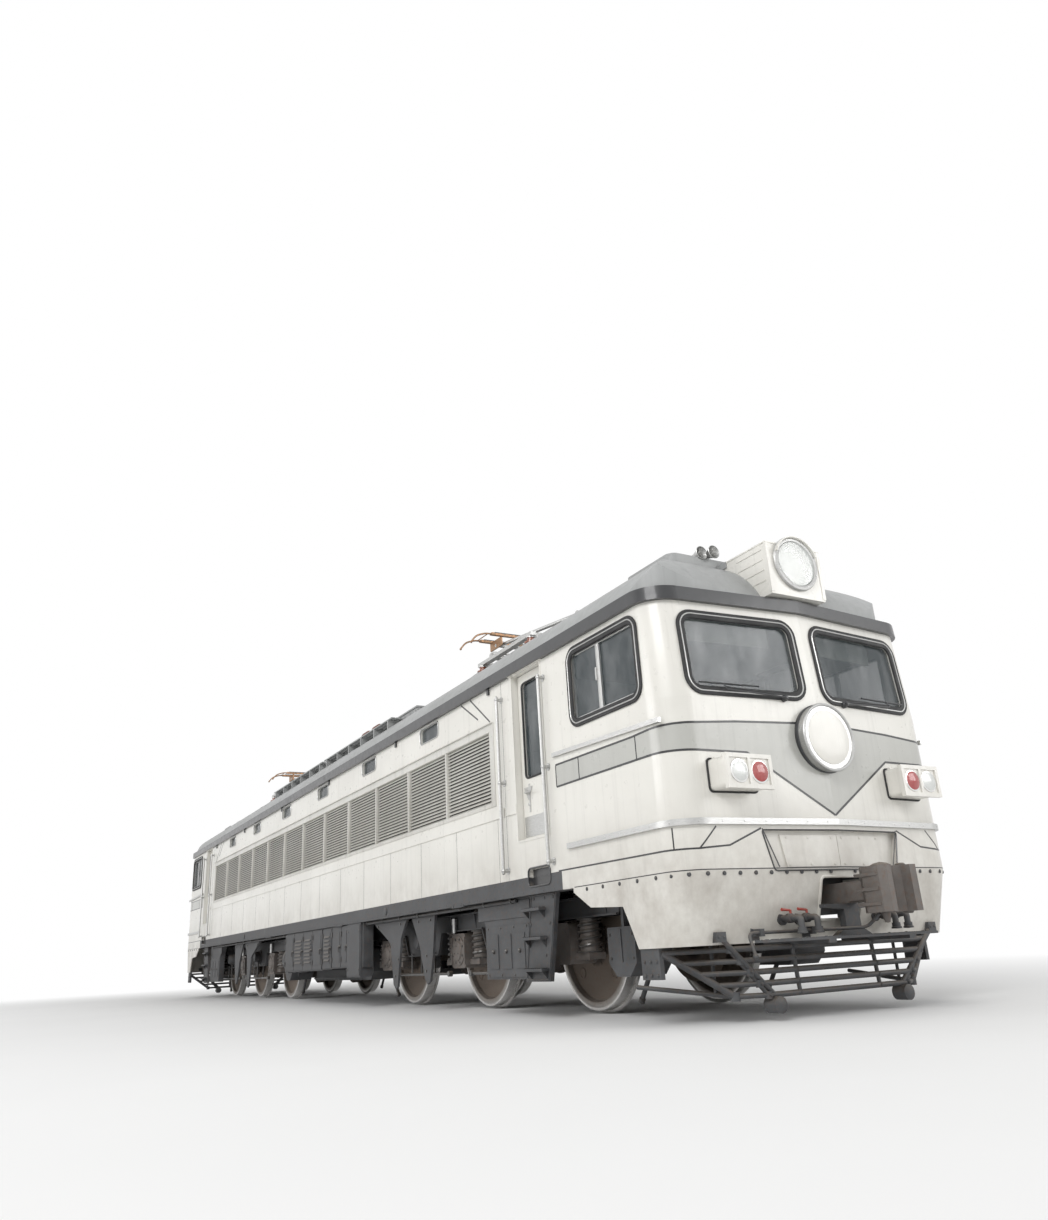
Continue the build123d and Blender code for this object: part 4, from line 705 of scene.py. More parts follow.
def headlamp(name, end):
    """Bezel, ribbed glass, reflector, plated housing and visor of the lamp on the roof's end."""
    z, x = 3.806, HIGH["headlamps"].x
    bezel = Piece(f"headlamp_bezel_{name}", "bright_steel", end=end)
    profile = ((0, 0.262), (0.014, 0.266), (0.030, 0.258), (0.036, 0.240), (0.030, 0.222), (0.016, 0.216))
    bezel.lathe((x, 0, z), FORWARD, profile, 64, True)
    bezel.bolts(around((x + 0.033, 0, z), 0.241, 8, "yz", 22.5), FORWARD, 0.008, 0.007, False)
    lens = Piece(f"headlamp_glass_{name}", "lens_glass", end=end)
    profile = [(0.0, 0.219)]
    for r in spread(0.214, -0.021, 10):
        dome = 0.048 * (1 - (r / 0.22) ** 2)
        profile += [(0.014 + dome, r), (0.010 + dome, r - 0.004)]
    lens.lathe((x + 0.016, 0, z), FORWARD, (*profile, (0.062, 0)), 56)
    shell = Piece(f"headlamp_trim_{name}", "lamp_paint", bevel=0.003)
    for _ in sides(end, shell):
        for rib_z in (3.62, 3.72, 3.82, 3.92):
            shell.box((9.86, 0.329, rib_z), (10.19, 0.337, rib_z + 0.014))
        shell.box((10.23, 0.300, 3.50), (10.256, 0.336, 3.977))
        shell.bolts(((9.78, 0.28, 3.991), (10.16, 0.28, 3.991)), UP, 0.011, 0.009)
    shell.box((9.72, -0.336, 3.978), (10.256, 0.336, 3.991))
    visor = []
    for degrees in range(20, 161, 10):
        a = math.radians(degrees)
        visor.append([(10.20, r * math.cos(a), z + r * math.sin(a)) for r in (0.262, 0.262 * 0.962)])
    shell.strip(visor, [(0.108, 0, 0)] * len(visor))
    back = Piece(f"headlamp_reflector_{name}", "reflector", slot="bright_steel", end=end)
    back.disc((x + 0.0155, 0, z), FORWARD, 0.213, 0.0012, 48)
    done(bezel, lens, shell, back)


def moulding_screws(name, end):
    """Screws along the waist rail and the sloping upper rail."""
    screws = Piece(f"moulding_screws_{name}", "bright_steel")
    pitch, first, rail_z = 0.21, 0.12, 1.473
    count = math.ceil((flank(8.55) - first) / pitch)
    for _ in sides(end, screws):
        for s in spread(first, pitch, count):
            at, n = arc_point(s)
            screws.rivets([at + n * 0.030 + UP * rail_z], n, 0.0085, 0.005)
        for x in spread(8.42, 0.19, 9):
            screws.rivets([(x, -HALF_W - 0.028, 2.338 - (x - 8.34) * 0.0298)], OUTWARD, 0.007, 0.004)
    screws.done()


def nose_pocket(name, end):
    """Sunk panel over the coupler and the dark trim round it."""
    panel = Piece(f"pocket_panel_{name}", "body_paint", bevel=0.004)
    trim = Piece(f"pocket_trim_{name}", "trim_dark")
    deep, thick = -0.045, 0.014
    outline = ((0.002, 1.122), (0.545, 1.122), (0.585, 1.372), (0.002, 1.372))
    edge = ((0.0, 1.093), (0.704, 1.093), (0.783, 1.408), (0.0, 1.408))
    for _ in sides(end, panel, trim):
        panel.prism([on_face(y, z, deep) for y, z in outline], FACET_NORMAL * thick)
        screws = [on_face(y, z, deep + thick) for y in (0.06, 0.3, 0.52) for z in (1.142, 1.352)]
        panel.bolts(screws, FACET_NORMAL, 0.009, 0.006)
        trim.tube([on_face(y, z, 0.001) for y, z in edge], 0.0065, turn=0.03)
    done(panel, trim)


def on_apron(y, z, out=0.0):
    """Point on the raked apron under the nose."""
    return Vector((NOSE_X + out - 0.170 * (1.108 - z) / 0.540 - FACET * abs(y), y, z))


def apron(name, end):
    """Bolts and seam along the apron's top, and the rim of the coupler's opening."""
    bolts = Piece(f"apron_fasteners_{name}", "frame_paint")
    seam = Piece(f"apron_seam_{name}", "pinstripe", slot="trim_dark")
    rim = Piece(f"coupler_opening_rim_{name}", "body_paint", end=end)
    z, seam_z = 1.082, 1.112
    for _ in sides(end, bolts, seam):
        for s in spread(0.14, 0.15, 11):
            at, n = arc_point(s)
            bolts.bolts([at + UP * z - n * 0.006], n)
        bolts.bolts(grid((8.75, 9.0, 9.25, 9.5, 9.75), (-HALF_W,), (z,)), OUTWARD)
        stripe(seam, ((0.0, seam_z), (front(1.1), seam_z), (flank(8.55), seam_z)), 0.008, depth=0.001)
    opening = ((-0.236, 0.712), (0.236, 0.712), (0.236, 1.044), (-0.236, 1.044))
    rim.tube([on_apron(y, z, 0.001) for y, z in opening], 0.014, closed=True, turn=0.04)
    done(bolts, seam, rim)


def coupler(name, end):
    """Knuckle with its pin, and the cast head's ribs and pins."""
    piece = Piece(f"coupler_knuckle_{name}", "cast_steel", bevel=0.006, end=end)
    piece.lathe((10.60, 0, 1.070), UP, ((0, 0.085), (0.02, 0.08), (0.035, 0.05), (0.045, 0.0)), 20)
    for z in (0.80, 0.908, 1.016):
        piece.box((10.50, -0.203, z - 0.012), (10.72, -0.190, z + 0.012))
    for y in (-0.082, 0.062):
        piece.box((10.30, y, 0.84), (10.50, y + 0.02, 0.976))
    piece.mirror = (end, end, 1)
    knuckle = ((10.655, 0.075), (10.72, 0.088), (10.792, 0.094), (10.797, 0.15),
               (10.77, 0.190), (10.70, 0.208), (10.62, 0.205), (10.60, 0.16))
    piece.prism([(x, y, 0.752) for x, y in knuckle], (0, 0, 0.312))
    pin = ((0, 0.030), (0.01, 0.040), (0.028, 0.040), (0.03, 0.028), (0.350, 0.028),
           (0.352, 0.040), (0.368, 0.040), (0.378, 0.026))
    piece.lathe((10.66, 0.158, 0.722), UP, pin, 20)
    piece.lathe((10.63, -0.06, 0.735), DOWN, ((0, 0.034), (0.04, 0.028), (0.07, 0.02), (0.075, 0)), 16)
    piece.done()


def uncoupling_lever(name, end):
    """Bent lever along the apron's foot, with its ball and two brackets; the same hand at both ends."""
    lever = Piece(f"uncoupling_lever_{name}", "frame_paint")
    lever.mirror = (end, end, 1)
    z, gap = 0.640, 0.075
    low = on_apron(-0.98, z, gap + 0.05) - UP * 0.16
    path = (low, on_apron(-0.98, z, gap), on_apron(-0.30, z, gap), (10.42, -0.05, z), (10.56, -0.05, 0.735))
    lever.tube(path, 0.013, 10, turn=0.05)
    lever.ball(low - UP * 0.01, 0.022, 12)
    for y in (-0.86, -0.36):
        foot = on_apron(y, z, -0.004)
        for length, width, height in ((gap + 0.024, 0.02, 0.028), (0.012, 0.04, 0.055)):
            lever.box(foot - Vector((0, width, height)), foot + Vector((length, width, height)))
    lever.done()


def end_cocks(name, end):
    """Four air pipes through the apron, each with a red cock."""
    pipes = Piece(f"end_pipes_{name}", "frame_paint", end=end)
    handles = Piece(f"end_cocks_{name}", "cock_red", slot="trim_dark", end=end)
    flange = ((0, 0.05), (0.018, 0.05), (0.020, 0.026), (0.075, 0.026), (0.078, 0.036),
              (0.12, 0.036), (0.124, 0.026), (0.15, 0.026))
    for y in (0.44, 0.60, -0.44, -0.60):
        at = on_apron(y, 0.735)
        bend = at + Vector((0.20, 0, 0))
        pipes.lathe(at - FORWARD * 0.01, FORWARD, flange, 18)
        pipes.tube((at + FORWARD * 0.14, bend, bend - UP * 0.075), 0.025, 12, turn=0.04)
        mouth = ((0, 0.034), (0.03, 0.034), (0.032, 0.041), (0.046, 0.041), (0.048, 0))
        pipes.lathe(bend - UP * 0.07, DOWN, mouth, 16)
        stem = at + FORWARD * 0.10
        handles.rod(stem + UP * 0.034, stem + UP * 0.062, 0.010, 8)
        handles.rod(stem + UP * 0.058, stem + Vector((0, math.copysign(0.09, y), 0.066)), 0.009, 8, 0.012)
    done(pipes, handles)


def rail_guard(name, end):
    """Bolts, bracket pads and roller ends of the rail guard, and the raised pattern of its tread."""
    guard = Piece(f"guard_fittings_{name}", "frame_paint")
    bars = ((0.530, 9.98, 1.10), (0.445, 9.988, 1.02), (0.360, 9.996, 0.94), (0.275, 10.0, 0.86),
            (0.190, 10.0, 0.78))
    for _ in sides(end, guard):
        for z, x, half in bars:
            guard.bolts([(x + 0.028, half, z)], FORWARD, 0.011, 0.009)
            guard.bolts([(x + 0.020, 0.45, z)], FORWARD, 0.010, 0.008)
        guard.bolts(grid((9.47, 9.55, 9.63), (-1.533,), (0.37, 0.47)), OUTWARD)
        guard.lathe((9.922, 0.72, 0.118), FORWARD, ((0, 0.040), (0.006, 0.052), (0.008, 0.062)), 20)
        cap = ((0, 0.062), (0.004, 0.052), (0.012, 0.040), (0.014, 0))
        guard.lathe((10.060, 0.72, 0.118), FORWARD, cap, 20)
        guard.box((9.955, 1.155, 0.585), (10.03, 1.245, 0.66))
        guard.bolts(((10.03, 1.175, 0.622), (10.03, 1.225, 0.622)), FORWARD, 0.009, 0.007)
        guard.bolts(grid((10.36,), (0.25, 0.45, 0.65), (0.5865,)), UP, 0.011, 0.007)
    grip = Piece(f"tread_pattern_{name}", "frame_paint", end=end)
    z, pitch = 0.585, 0.05
    for i, x in enumerate(spread(10.135, 0.032, 9)):
        reach = 0.92 - (x - 10.11) * 0.613
        n = int(reach / pitch)
        for k in range(-n, n + 1):
            y = k * pitch + (pitch / 2 if i % 2 else 0)
            if abs(y) > reach or (10.17 < x < 10.25 and abs(y) < 0.21):
                continue
            d = 0.013 if (i + k) % 2 else -0.013
            rib = ((x - 0.009, y - d, z), (x - 0.004, y - d - 0.004, z), (x + 0.009, y + d, z),
                   (x + 0.004, y + d + 0.004, z))
            grip.prism(rib, (0, 0, 0.0045))
    done(guard, grip)


def cab_door(name, end, side_name, side):
    """Pane, gaskets, kick plate, grip and lock of one cab door."""
    body = f"door_{name}_{side_name}"
    pane = Piece(f"{body}_pane", "glass", body)
    gasket = Piece(f"{body}_gasket", "seal_rubber", body)
    fit = Piece(f"{body}_fittings", "bright_steel", body, bevel=0.002)
    for piece in (pane, gasket, fit):
        piece.mirror = (end, side, 1)
    skin = -HIGH["door_front_left"].y
    pane.box((7.667, -1.458, 2.242), (8.073, -1.464, 3.228))
    for y in (skin - 0.003, -1.440):
        gasket.tube(rectangle(7.665, 8.075, 2.24, 3.23, y), 0.011, closed=True, turn=0.055)
    gasket.tube(rectangle(7.584, 8.161, 1.637, 3.321, skin + 0.02), 0.004, 6, closed=True)
    fit.box((7.60, skin - 0.003, 1.66), (8.14, skin + 0.001, 1.86))
    fit.rivets(grid((7.62, 7.87, 8.12), (skin - 0.003,), (1.68, 1.84)), OUTWARD, 0.007, 0.004)
    for x in (7.72, 8.02):
        fit.box((x - 0.012, skin - 0.006, 1.90), (x + 0.012, skin + 0.001, 2.18))
    plate = [(x, skin - 0.001, z) for x, z in ((7.70, 2.02), (7.78, 2.15), (7.62, 2.15))]
    fit.prism(plate, OUTWARD * 0.007)
    knob = ((0, 0.030), (0.010, 0.030), (0.013, 0.022), (0.040, 0.013), (0.046, 0.013))
    fit.lathe((7.70, skin, 2.095), OUTWARD, knob, 20)
    fit.rod((7.70, skin - 0.042, 2.095), (7.82, skin - 0.046, 2.085), 0.011, 10, 0.008)
    fit.lathe((7.70, skin, 1.98), OUTWARD, ((0, 0.016), (0.008, 0.016), (0.010, 0.010)), 16)
    done(pane, gasket, fit)


CAB_PARTS = (window_trim, sliding_frames, wipers, nose_disc, marker_lamps, headlamp, moulding_screws,
             nose_pocket, apron, coupler, uncoupling_lever, end_cocks, rail_guard)
for name, end in ENDS:
    livery(name, end)
for name, end in ENDS:
    for build in CAB_PARTS:
        build(name, end)
for name, end in ENDS:
    cab_door(name, end, "right", 1)
    cab_door(name, end, "left", -1)

# Side walls: handrail feet, belts, seams, footholds and rivets
WALL = -HALF_W
bits = Piece("side_fittings", "bright_steel")
seams = Piece("side_seams", "pinstripe", slot="trim_dark")
belts = Piece("door_belts", "body_paint", bevel=0.003)
linings = Piece("foothold_linings", "trim_dark")
rail_foot = ((0, 0.036), (0.006, 0.036), (0.009, 0.018), (0.040, 0.0165))
rail_y = WALL - 0.060
BELTS = ((7.352, 7.565, 1.908, 1.998, 0.001, 0.012), (7.245, 7.300, 1.908, 1.998, 0.001, 0.012),
         (7.52, 8.22, 3.337, 3.352, 0.001, 0.028), (7.555, 7.572, 1.632, 3.335, 0.002, 0.006),
         (8.168, 8.185, 1.632, 3.335, 0.002, 0.006), (7.555, 8.185, 1.612, 1.632, 0.002, 0.006))
for end, _ in corners(bits, seams, belts, linings):
    for x in (7.33, 8.225):
        for z in (1.37, 2.25, 3.14):
            bits.lathe((x, WALL, z), OUTWARD, rail_foot, 20)
            screws = around((x, WALL - 0.006, z), 0.027, 3, "xz", 30 + 15 * end)
            bits.bolts(screws, OUTWARD, 0.005, 0.004, False)
            bits.ball((x, rail_y, z), 0.024, 16)
        for z in (1.35, 3.16):
            bits.ball((x, rail_y, z), 0.0185)
    for x0, x1, z0, z1, inner, proud in BELTS:
        belts.box((x0, WALL + inner, z0), (x1, WALL - proud, z1))
    linings.tube(rectangle(7.73, 8.15, 1.178, 1.35, WALL - 0.001), 0.009, closed=True, turn=0.055)
    linings.box((7.75, WALL + 0.043, 1.19), (8.13, WALL + 0.046, 1.34))
    for x in spread(7.78, 0.045, 8):
        linings.box((x, WALL + 0.004, 1.181), (x + 0.012, WALL + 0.044, 1.188))
    y = WALL - 0.0002
    for a, b in (((6.336, y, 3.333), (6.762, y, 3.061)), ((6.578, y, 3.333), (7.051, y, 2.969))):
        a, b = Vector(a), Vector(b)
        w = (b - a).normalized().cross(OUTWARD) * 0.009
        seams.prism((a + w, b + w, b - w, a - w), OUTWARD * 0.0014)
    seams.box((7.3285, WALL - 0.0009, 1.27), (7.3325, WALL + 0.001, 3.338))
for _ in sides(1, bits, seams):
    for x in (1.08, 3.24, 5.40, -1.08, -3.24, -5.40):
        rim = round_corners(x - 0.284, x + 0.284, 3.116, 3.314, 0.064)
        bits.tube([(u, WALL - 0.004, v) for u, v in rim], 0.0085, closed=True)
        bits.rivets(grid((x - 0.31, x + 0.31), (WALL,), (3.215,)), OUTWARD, 0.006, 0.004)
    for x in spread(-7.14, 1.02, 15):
        seams.box((x - 0.0022, WALL + 0.001, 1.272), (x + 0.0022, WALL - 0.0009, 1.906))
    seams.box((-8.34, WALL + 0.001, 1.268), (8.34, WALL - 0.0009, 1.2715))
    rows = grid(spread(-7.06, 7.06 / 24, 49), (WALL - 0.008,), (2.068, 2.905))
    rows += grid((-7.09, 7.09), (WALL - 0.008,), (2.2, 2.35, 2.5, 2.65, 2.8))
    bits.rivets(rows, OUTWARD, 0.0065, 0.0035)
done(bits, seams, belts, linings)

# Louvre ribs and the filter mats behind the louvres
ribs = Piece("louvre_ribs", "louvre_paint", bevel=0.002)
mats = Piece("filter_mats", "cable_black", slot="seal_rubber")
for _ in sides(1, ribs, mats):
    for x in spread(-7.055, 14.11 / 12, 13):
        x = max(min(x, 7.04), -7.04)
        ribs.box((x - 0.017, WALL + 0.010, 2.09), (x + 0.017, WALL - 0.006, 2.856))
        ribs.rivets(grid((x,), (WALL - 0.006,), (2.12, 2.47, 2.82)), OUTWARD, 0.0055, 0.003)
    ribs.box((-7.12, WALL - 0.004, 2.942), (7.12, WALL - 0.030, 2.952))
    mats.box((-7.07, WALL + 0.052, 2.06), (7.07, WALL + 0.046, 2.93))
done(ribs, mats)

# Sill rivets, jacking pads and round covers
sill = Piece("sill_rivets", "frame_paint")
pads = Piece("sill_pads", "frame_paint", bevel=0.004)
for _ in sides(1, sill, pads):
    x = -8.2
    while x < 8.21:
        for z in (1.242, 1.134):
            at_foothold = 7.68 < abs(x) < 8.2 and z > 1.17
            if not at_foothold:
                sill.rivets([(x, WALL, z)], OUTWARD, 0.0095, 0.006)
        x += 0.2
    for x in (-6.1, -2.0, 2.0, 6.1):
        pads.box((x - 0.15, WALL + 0.05, 1.096), (x + 0.15, WALL - 0.004, 1.125))
        pads.bolts(grid((x - 0.1, x + 0.1), (WALL - 0.004,), (1.112,)), OUTWARD, 0.008, 0.006, False)
    for x in (-3.9, 3.9):
        pads.lathe((x, WALL + 0.002, 1.19), OUTWARD, ((0, 0.05), (0.012, 0.05), (0.016, 0.04)), 20)
done(sill, pads)

# Door ladders: tread ribs, gussets, bolts and edge bead
ladders = Piece("ladder_fittings", "frame_paint", bevel=0.002)
for _ in corners(ladders):
    for z in (0.42, 0.70, 0.96):
        for x in spread(7.58, 0.04, 9):
            ladders.box((x - 0.004, WALL + 0.055, z + 0.0245), (x + 0.004, WALL - 0.017, z + 0.031))
        for x in (7.586, 7.886):
            gusset = ((x, WALL + 0.060, z), (x, WALL + 0.060, z - 0.07), (x, WALL - 0.005, z))
            ladders.prism(gusset, FORWARD * 0.008)
    for z, across in ((1.07, (7.70, 7.90, 8.06)), (0.84, (7.62, 7.98)), (0.56, (7.53, 7.88))):
        ladders.bolts(grid(across, (WALL + 0.060,), (z,)), OUTWARD)
    edge = ((7.655, 1.10), (7.50, 0.345), (7.915, 0.345), (8.11, 1.10))
    ladders.tube([(x, WALL + 0.059, z) for x, z in edge], 0.008, closed=True, turn=0.03)
ladders.done()

# Equipment boxes: doors with hinges and latches, louvred on three of them
doors = Piece("equipment_doors", "frame_paint", bevel=0.004)
latches = Piece("equipment_latches", "oil_steel", slot="cast_steel")
DOORS = ((-0.93, -0.42, 0.52), (-0.40, 0.11, 0.52), (0.13, 0.62, 0.52), (0.64, 1.11, 0.52),
         (1.17, 1.58, 0.53), (1.62, 2.02, 0.54), (2.04, 2.33, 0.54))
DOOR_TOP, DOOR_Y = 1.09, -1.513
BRACKET_BOLTS = ((3.30, 1.02), (4.10, 1.02), (3.92, 0.40), (4.02, 0.60), (4.70, 1.02), (5.06, 1.02),
                 (4.92, 0.45), (4.93, 0.62))
LATCH = ((0, 0.022), (0.01, 0.022), (0.014, 0.014), (0.03, 0.010))
for _ in sides(1, doors, latches):
    for n, (x0, x1, z0) in enumerate(DOORS):
        doors.box((x0, DOOR_Y + 0.002, z0), (x1, DOOR_Y - 0.014, DOOR_TOP))
        doors.box((x0 + 0.05, DOOR_Y, z0 + 0.06), (x1 - 0.05, DOOR_Y - 0.019, DOOR_TOP - 0.06))
        for z in (z0 + 0.065, DOOR_TOP - 0.135):
            latches.disc((x0 + 0.012, DOOR_Y - 0.020, z), UP, 0.011, 0.07, 10)
        x, z = x1 - 0.035, (z0 + DOOR_TOP) / 2
        latches.lathe((x, DOOR_Y - 0.014, z), OUTWARD, LATCH, 14)
        latches.disc((x, DOOR_Y - 0.040, z), DOWN, 0.008, 0.07, 8)
        for z in spread(z0 + 0.10, 0.055, 7 if n in (1, 2, 4) else 0):
            slat = [(x0 + 0.08, y, z + dz) for y, dz in ((-1.531, 0.030), (-1.547, 0), (-1.531, -0.004))]
            doors.prism(slat, (x1 - x0 - 0.16, 0, 0))
    doors.box((2.37, -1.539, 0.42), (2.89, -1.549, 1.09))
    latches.bolts(grid((2.40, 2.86), (-1.549,), (0.5, 1.0)), OUTWARD)
knob = ((0, 0.022), (0.012, 0.020), (0.018, 0.010), (0.02, 0))
for _ in corners(doors, latches):
    doors.box((6.57, -1.439, 0.37), (7.50, -1.450, 0.86))
    doors.box((6.40, -1.439, 0.925), (7.53, -1.450, 1.085))
    latches.bolts(grid((6.62, 6.90, 7.18, 7.45), (-1.450,), (0.39, 0.84)), OUTWARD, 0.010, 0.007)
    for x in (6.75, 7.03, 7.31):
        doors.box((x - 0.10, -1.449, 0.45), (x + 0.10, -1.458, 0.78))
        latches.lathe((x, -1.458, 0.615), OUTWARD, knob, 16)
    latches.bolts([(x, -1.430, z) for x, z in BRACKET_BOLTS], OUTWARD, 0.014, 0.010)
done(doors, latches)

# Air pipes along the sill and their clips
pipes = Piece("floor_pipes", "frame_paint")
clips = Piece("floor_pipe_clips", "oil_steel", slot="cast_steel")
for _ in sides(1, pipes, clips):
    for y, z, r in ((-1.468, 1.082, 0.017), (-1.425, 1.086, 0.013)):
        pipes.tube([(x, y, z) for x in (-7.3, -3.2, 3.2, 7.3)], r, 10)
    for x in spread(-7.2, 0.6, 25):
        clips.box((x - 0.015, -1.400, 1.098), (x + 0.015, -1.492, 1.110))
        clips.disc((x - 0.012, -1.468, 1.082), FORWARD, 0.022, 0.024, 12)
done(pipes, clips)

# Transformer tank: cooling fins, flange bolts and drain
tank = Piece("transformer_fittings", "frame_paint", bevel=0.003)
for _, end in ENDS:
    tank.mirror = (end, 1, 1)
    for y in spread(-0.66, 0.11, 13):
        tank.box((1.349, y - 0.006, 0.42), (1.43, y + 0.006, 1.02))
    for z in (0.40, 1.01):
        tank.box((1.41, -0.70, z), (1.44, 0.70, z + 0.03))
for _ in sides(1, tank):
    tank.box((-1.37, 0.845, 0.352), (1.37, 0.878, 0.376))
    tank.bolts(grid(spread(-1.26, 0.18, 15), (0.862,), (0.352,)), DOWN, 0.011, 0.009)
tank.mirror = (1, 1, 1)
tank.lathe((0.9, 0, 0.33), DOWN, ((0, 0.06), (0.012, 0.06), (0.014, 0.035), (0.05, 0.035), (0.055, 0.02)), 18)
tank.lathe((-0.6, 0.3, 0.33), DOWN, ((0, 0.11), (0.012, 0.11), (0.016, 0.09), (0.02, 0)), 24)
tank.done()

# Air reservoirs: straps, seams, drain cock and end boss
air = Piece("reservoir_fittings", "frame_paint")
for _ in sides(1, air):
    y, z = 1.15, 0.70
    for x in (-1.59, -1.29):
        air.lathe((x, y, z), FORWARD, ((0, 0.231), (0, 0.238), (0.06, 0.238), (0.06, 0.231)), 36)
    for x, way in ((-1.655, 1), (-1.065, -1)):
        air.lathe((x, y, z), FORWARD * way, ((0, 0.2305), (0.004, 0.234), (0.008, 0.2305)), 36)
    air.lathe((-1.36, y, 0.472), DOWN, ((0, 0.022), (0.03, 0.022), (0.033, 0.012), (0.06, 0.012)), 14)
    valve = ((0, 0.05), (0.015, 0.05), (0.018, 0.03), (0.045, 0.03), (0.05, 0))
    air.lathe((-1.716, y, z), -FORWARD, valve, 18)
air.done()

# Roof surface over the machine room: a crown arc and a tighter haunch on each side
CROWN_HALF, CROWN_R, EAVES_HALF, EAVES_Z = 1.15, 3.6, 1.54, 3.458


def roof_z(y, out=0.0):
    """Height of the roof's surface at y."""
    y = abs(y)
    rise = math.sqrt(CROWN_R ** 2 - CROWN_HALF ** 2)
    if y <= CROWN_HALF:
        return ROOF_TOP - CROWN_R + math.sqrt(CROWN_R ** 2 - y ** 2) + out
    top, eaves = Vector((CROWN_HALF, ROOF_TOP - CROWN_R + rise)), Vector((EAVES_HALF, EAVES_Z))
    inward = Vector((-CROWN_HALF, -rise)).normalized()
    chord = eaves - top
    r = chord.length_squared / (2 * chord.dot(inward))
    centre = top + inward * r
    return centre.y + math.sqrt(max(r * r - (y - centre.x) ** 2, 0)) + out


straps = Piece("roof_straps", "roof_paint")
for x in (-7.30, -6.2, -4.1, -3.35, -1.75, 0.0, 1.75, 3.35, 4.1, 6.2, 7.30):
    rows = [[(x + dx, y, roof_z(y, 0.006)) for dx in (-0.03, 0.03)] for y in spread(-1.50, 3 / 28, 29)]
    straps.strip(rows, [(0, 0, -0.010)] * len(rows))
straps.done()

# Hatches with ribbed lids, and walkway boards
hatches = Piece("roof_hatch_fittings", "roof_paint", bevel=0.003)
z = HIGH["roof_gear"].z
for x in (-2.6, -0.9, 0.9, 2.6):
    hatches.box((x - 0.665, -0.815, z - 0.012), (x + 0.665, 0.815, z + 0.010))
    for lid_x in (x - 0.32, x + 0.32):
        hatches.box((lid_x - 0.24, -0.70, z + 0.008), (lid_x + 0.24, 0.70, z + 0.020))
        for y in spread(-0.60, 0.133, 10):
            hatches.box((lid_x - 0.20, y - 0.012, z + 0.019), (lid_x + 0.20, y + 0.012, z + 0.032))
    for vent_x in spread(x - 0.60, 0.22, 6):
        for y in (0.802, -0.812):
            hatches.box((vent_x, y, 4.02), (vent_x + 0.10, y + 0.010, 4.12))
hatches.done()
boards = Piece("roof_walkways", "roof_paint", bevel=0.002)
board_z = roof_z(0.98) + 0.045
for _ in corners(boards):
    for y in spread(0.98, 0.075, 4):
        boards.box((0.05, y - 0.03, board_z), (3.3, y + 0.03, board_z + 0.017))
    for x in spread(0.185, 2.95 / 5, 6):
        leg = ((0.95, roof_z(0.95) - 0.01), (1.24, roof_z(1.24) - 0.02), (1.24, board_z + 0.001),
               (0.95, board_z + 0.001))
        boards.prism([(x, y, z) for y, z in leg], (0.03, 0, 0))
boards.done()

# Horns, the low plate's bolts and vent, the tray over the roof's edge and the gutter's outlets
for name, end in ENDS:
    horns = Piece(f"horns_{name}", "bright_steel", end=end)
    x, z = 9.36, 4.105
    for y, length in ((0.42, 0.34), (0.52, 0.28), (-0.42, 0.31), (-0.52, 0.25)):
        trumpet = ((0, 0.018), (0.05, 0.020), (length * 0.6, 0.028), (length * 0.86, 0.048), (length, 0.068),
                   (length + 0.004, 0.064), (length * 0.86, 0.040), (length * 0.6, 0.018))
        horns.lathe((x, y, z), FORWARD, trumpet, 20)
        horns.lathe((x - 0.035, y, z), FORWARD, ((0, 0.040), (0.035, 0.040), (0.04, 0.018)), 18)
        horns.disc((x + 0.02, y, 4.05), UP, 0.014, 0.05, 10)
    plate = Piece(f"roof_plate_fittings_{name}", "roof_paint", bevel=0.002, end=end)
    plate.bolts(grid((8.95, 9.15, 9.35, 9.55), (-0.86, 0.86), (4.056,)), UP, 0.010, 0.008)
    vent = ((0, 0.11), (0.012, 0.11), (0.016, 0.07), (0.075, 0.065), (0.12, 0.03), (0.125, 0))
    plate.lathe((8.55, 0.0, 4.02), UP, vent, 28)
    plate.box((9.56, -0.342, 3.93), (9.725, 0.342, 3.993))
    tray = Piece(f"roof_edge_tray_{name}", "roof_paint", end=end)
    lean = LEAN * (3.46 - WAIST_Z)
    corner = spread(FACET_LENGTH + CORNER_R * TURN, -CORNER_R * TURN / 10, 11)
    stations = [flank(8.2 + lean)] + corner + [front(0.02)]
    rows = []
    for s in stations:
        at, n = arc_point(s)
        at += Vector((-lean, 0, 3.464))
        rows.append((at + n * 0.035, at - n * 0.23))
    rows += [[(x, -y, z) for x, y, z in row] for row in reversed(rows)]
    tray.strip(rows, [(0, 0, -0.0095)] * len(rows))
    outlets = Piece(f"gutter_outlets_{name}", "trim_dark", bevel=0.002)
    for _ in sides(end, outlets):
        for x in (7.05, 4.3, 1.4):
            outlets.box((x - 0.02, -1.556, 3.338), (x + 0.02, -1.575, 3.27))
    done(horns, plate, tray, outlets)

# Insulators: foot flanges, caps and their bolts; busbar clamps; the breaker's sheds
POST_TOP = HIGH["roof_insulators"].z
BUS_X, BUS_Y = (-3.9, -1.75, 0, 1.75, 3.9), 0.48
caps = Piece("insulator_caps", "bright_steel")
foot = ((0, 0.098), (0.014, 0.098), (0.018, 0.064), (0.03, 0.056))
cap = ((0, 0.052), (0.004, 0.060), (0.020, 0.060))
pantograph_x = PIVOT["pantograph_front_raise"].x
for end in (1, -1):
    for x, y, _ in grid((end * (pantograph_x - 0.25), end * (pantograph_x + 1.1)), (-BUS_Y, BUS_Y), (0,)):
        caps.lathe((x, y, POST_TOP - 0.022), UP, cap, 20)
        caps.lathe((x, y, roof_z(y) - 0.004), UP, foot)
        caps.bolts(around((x, y, roof_z(y) + 0.01), 0.083, 4, "xy", 45), UP, 0.008, 0.007, False)
        caps.bolts([(x, y, POST_TOP + 0.05)], UP, 0.018, 0.014)
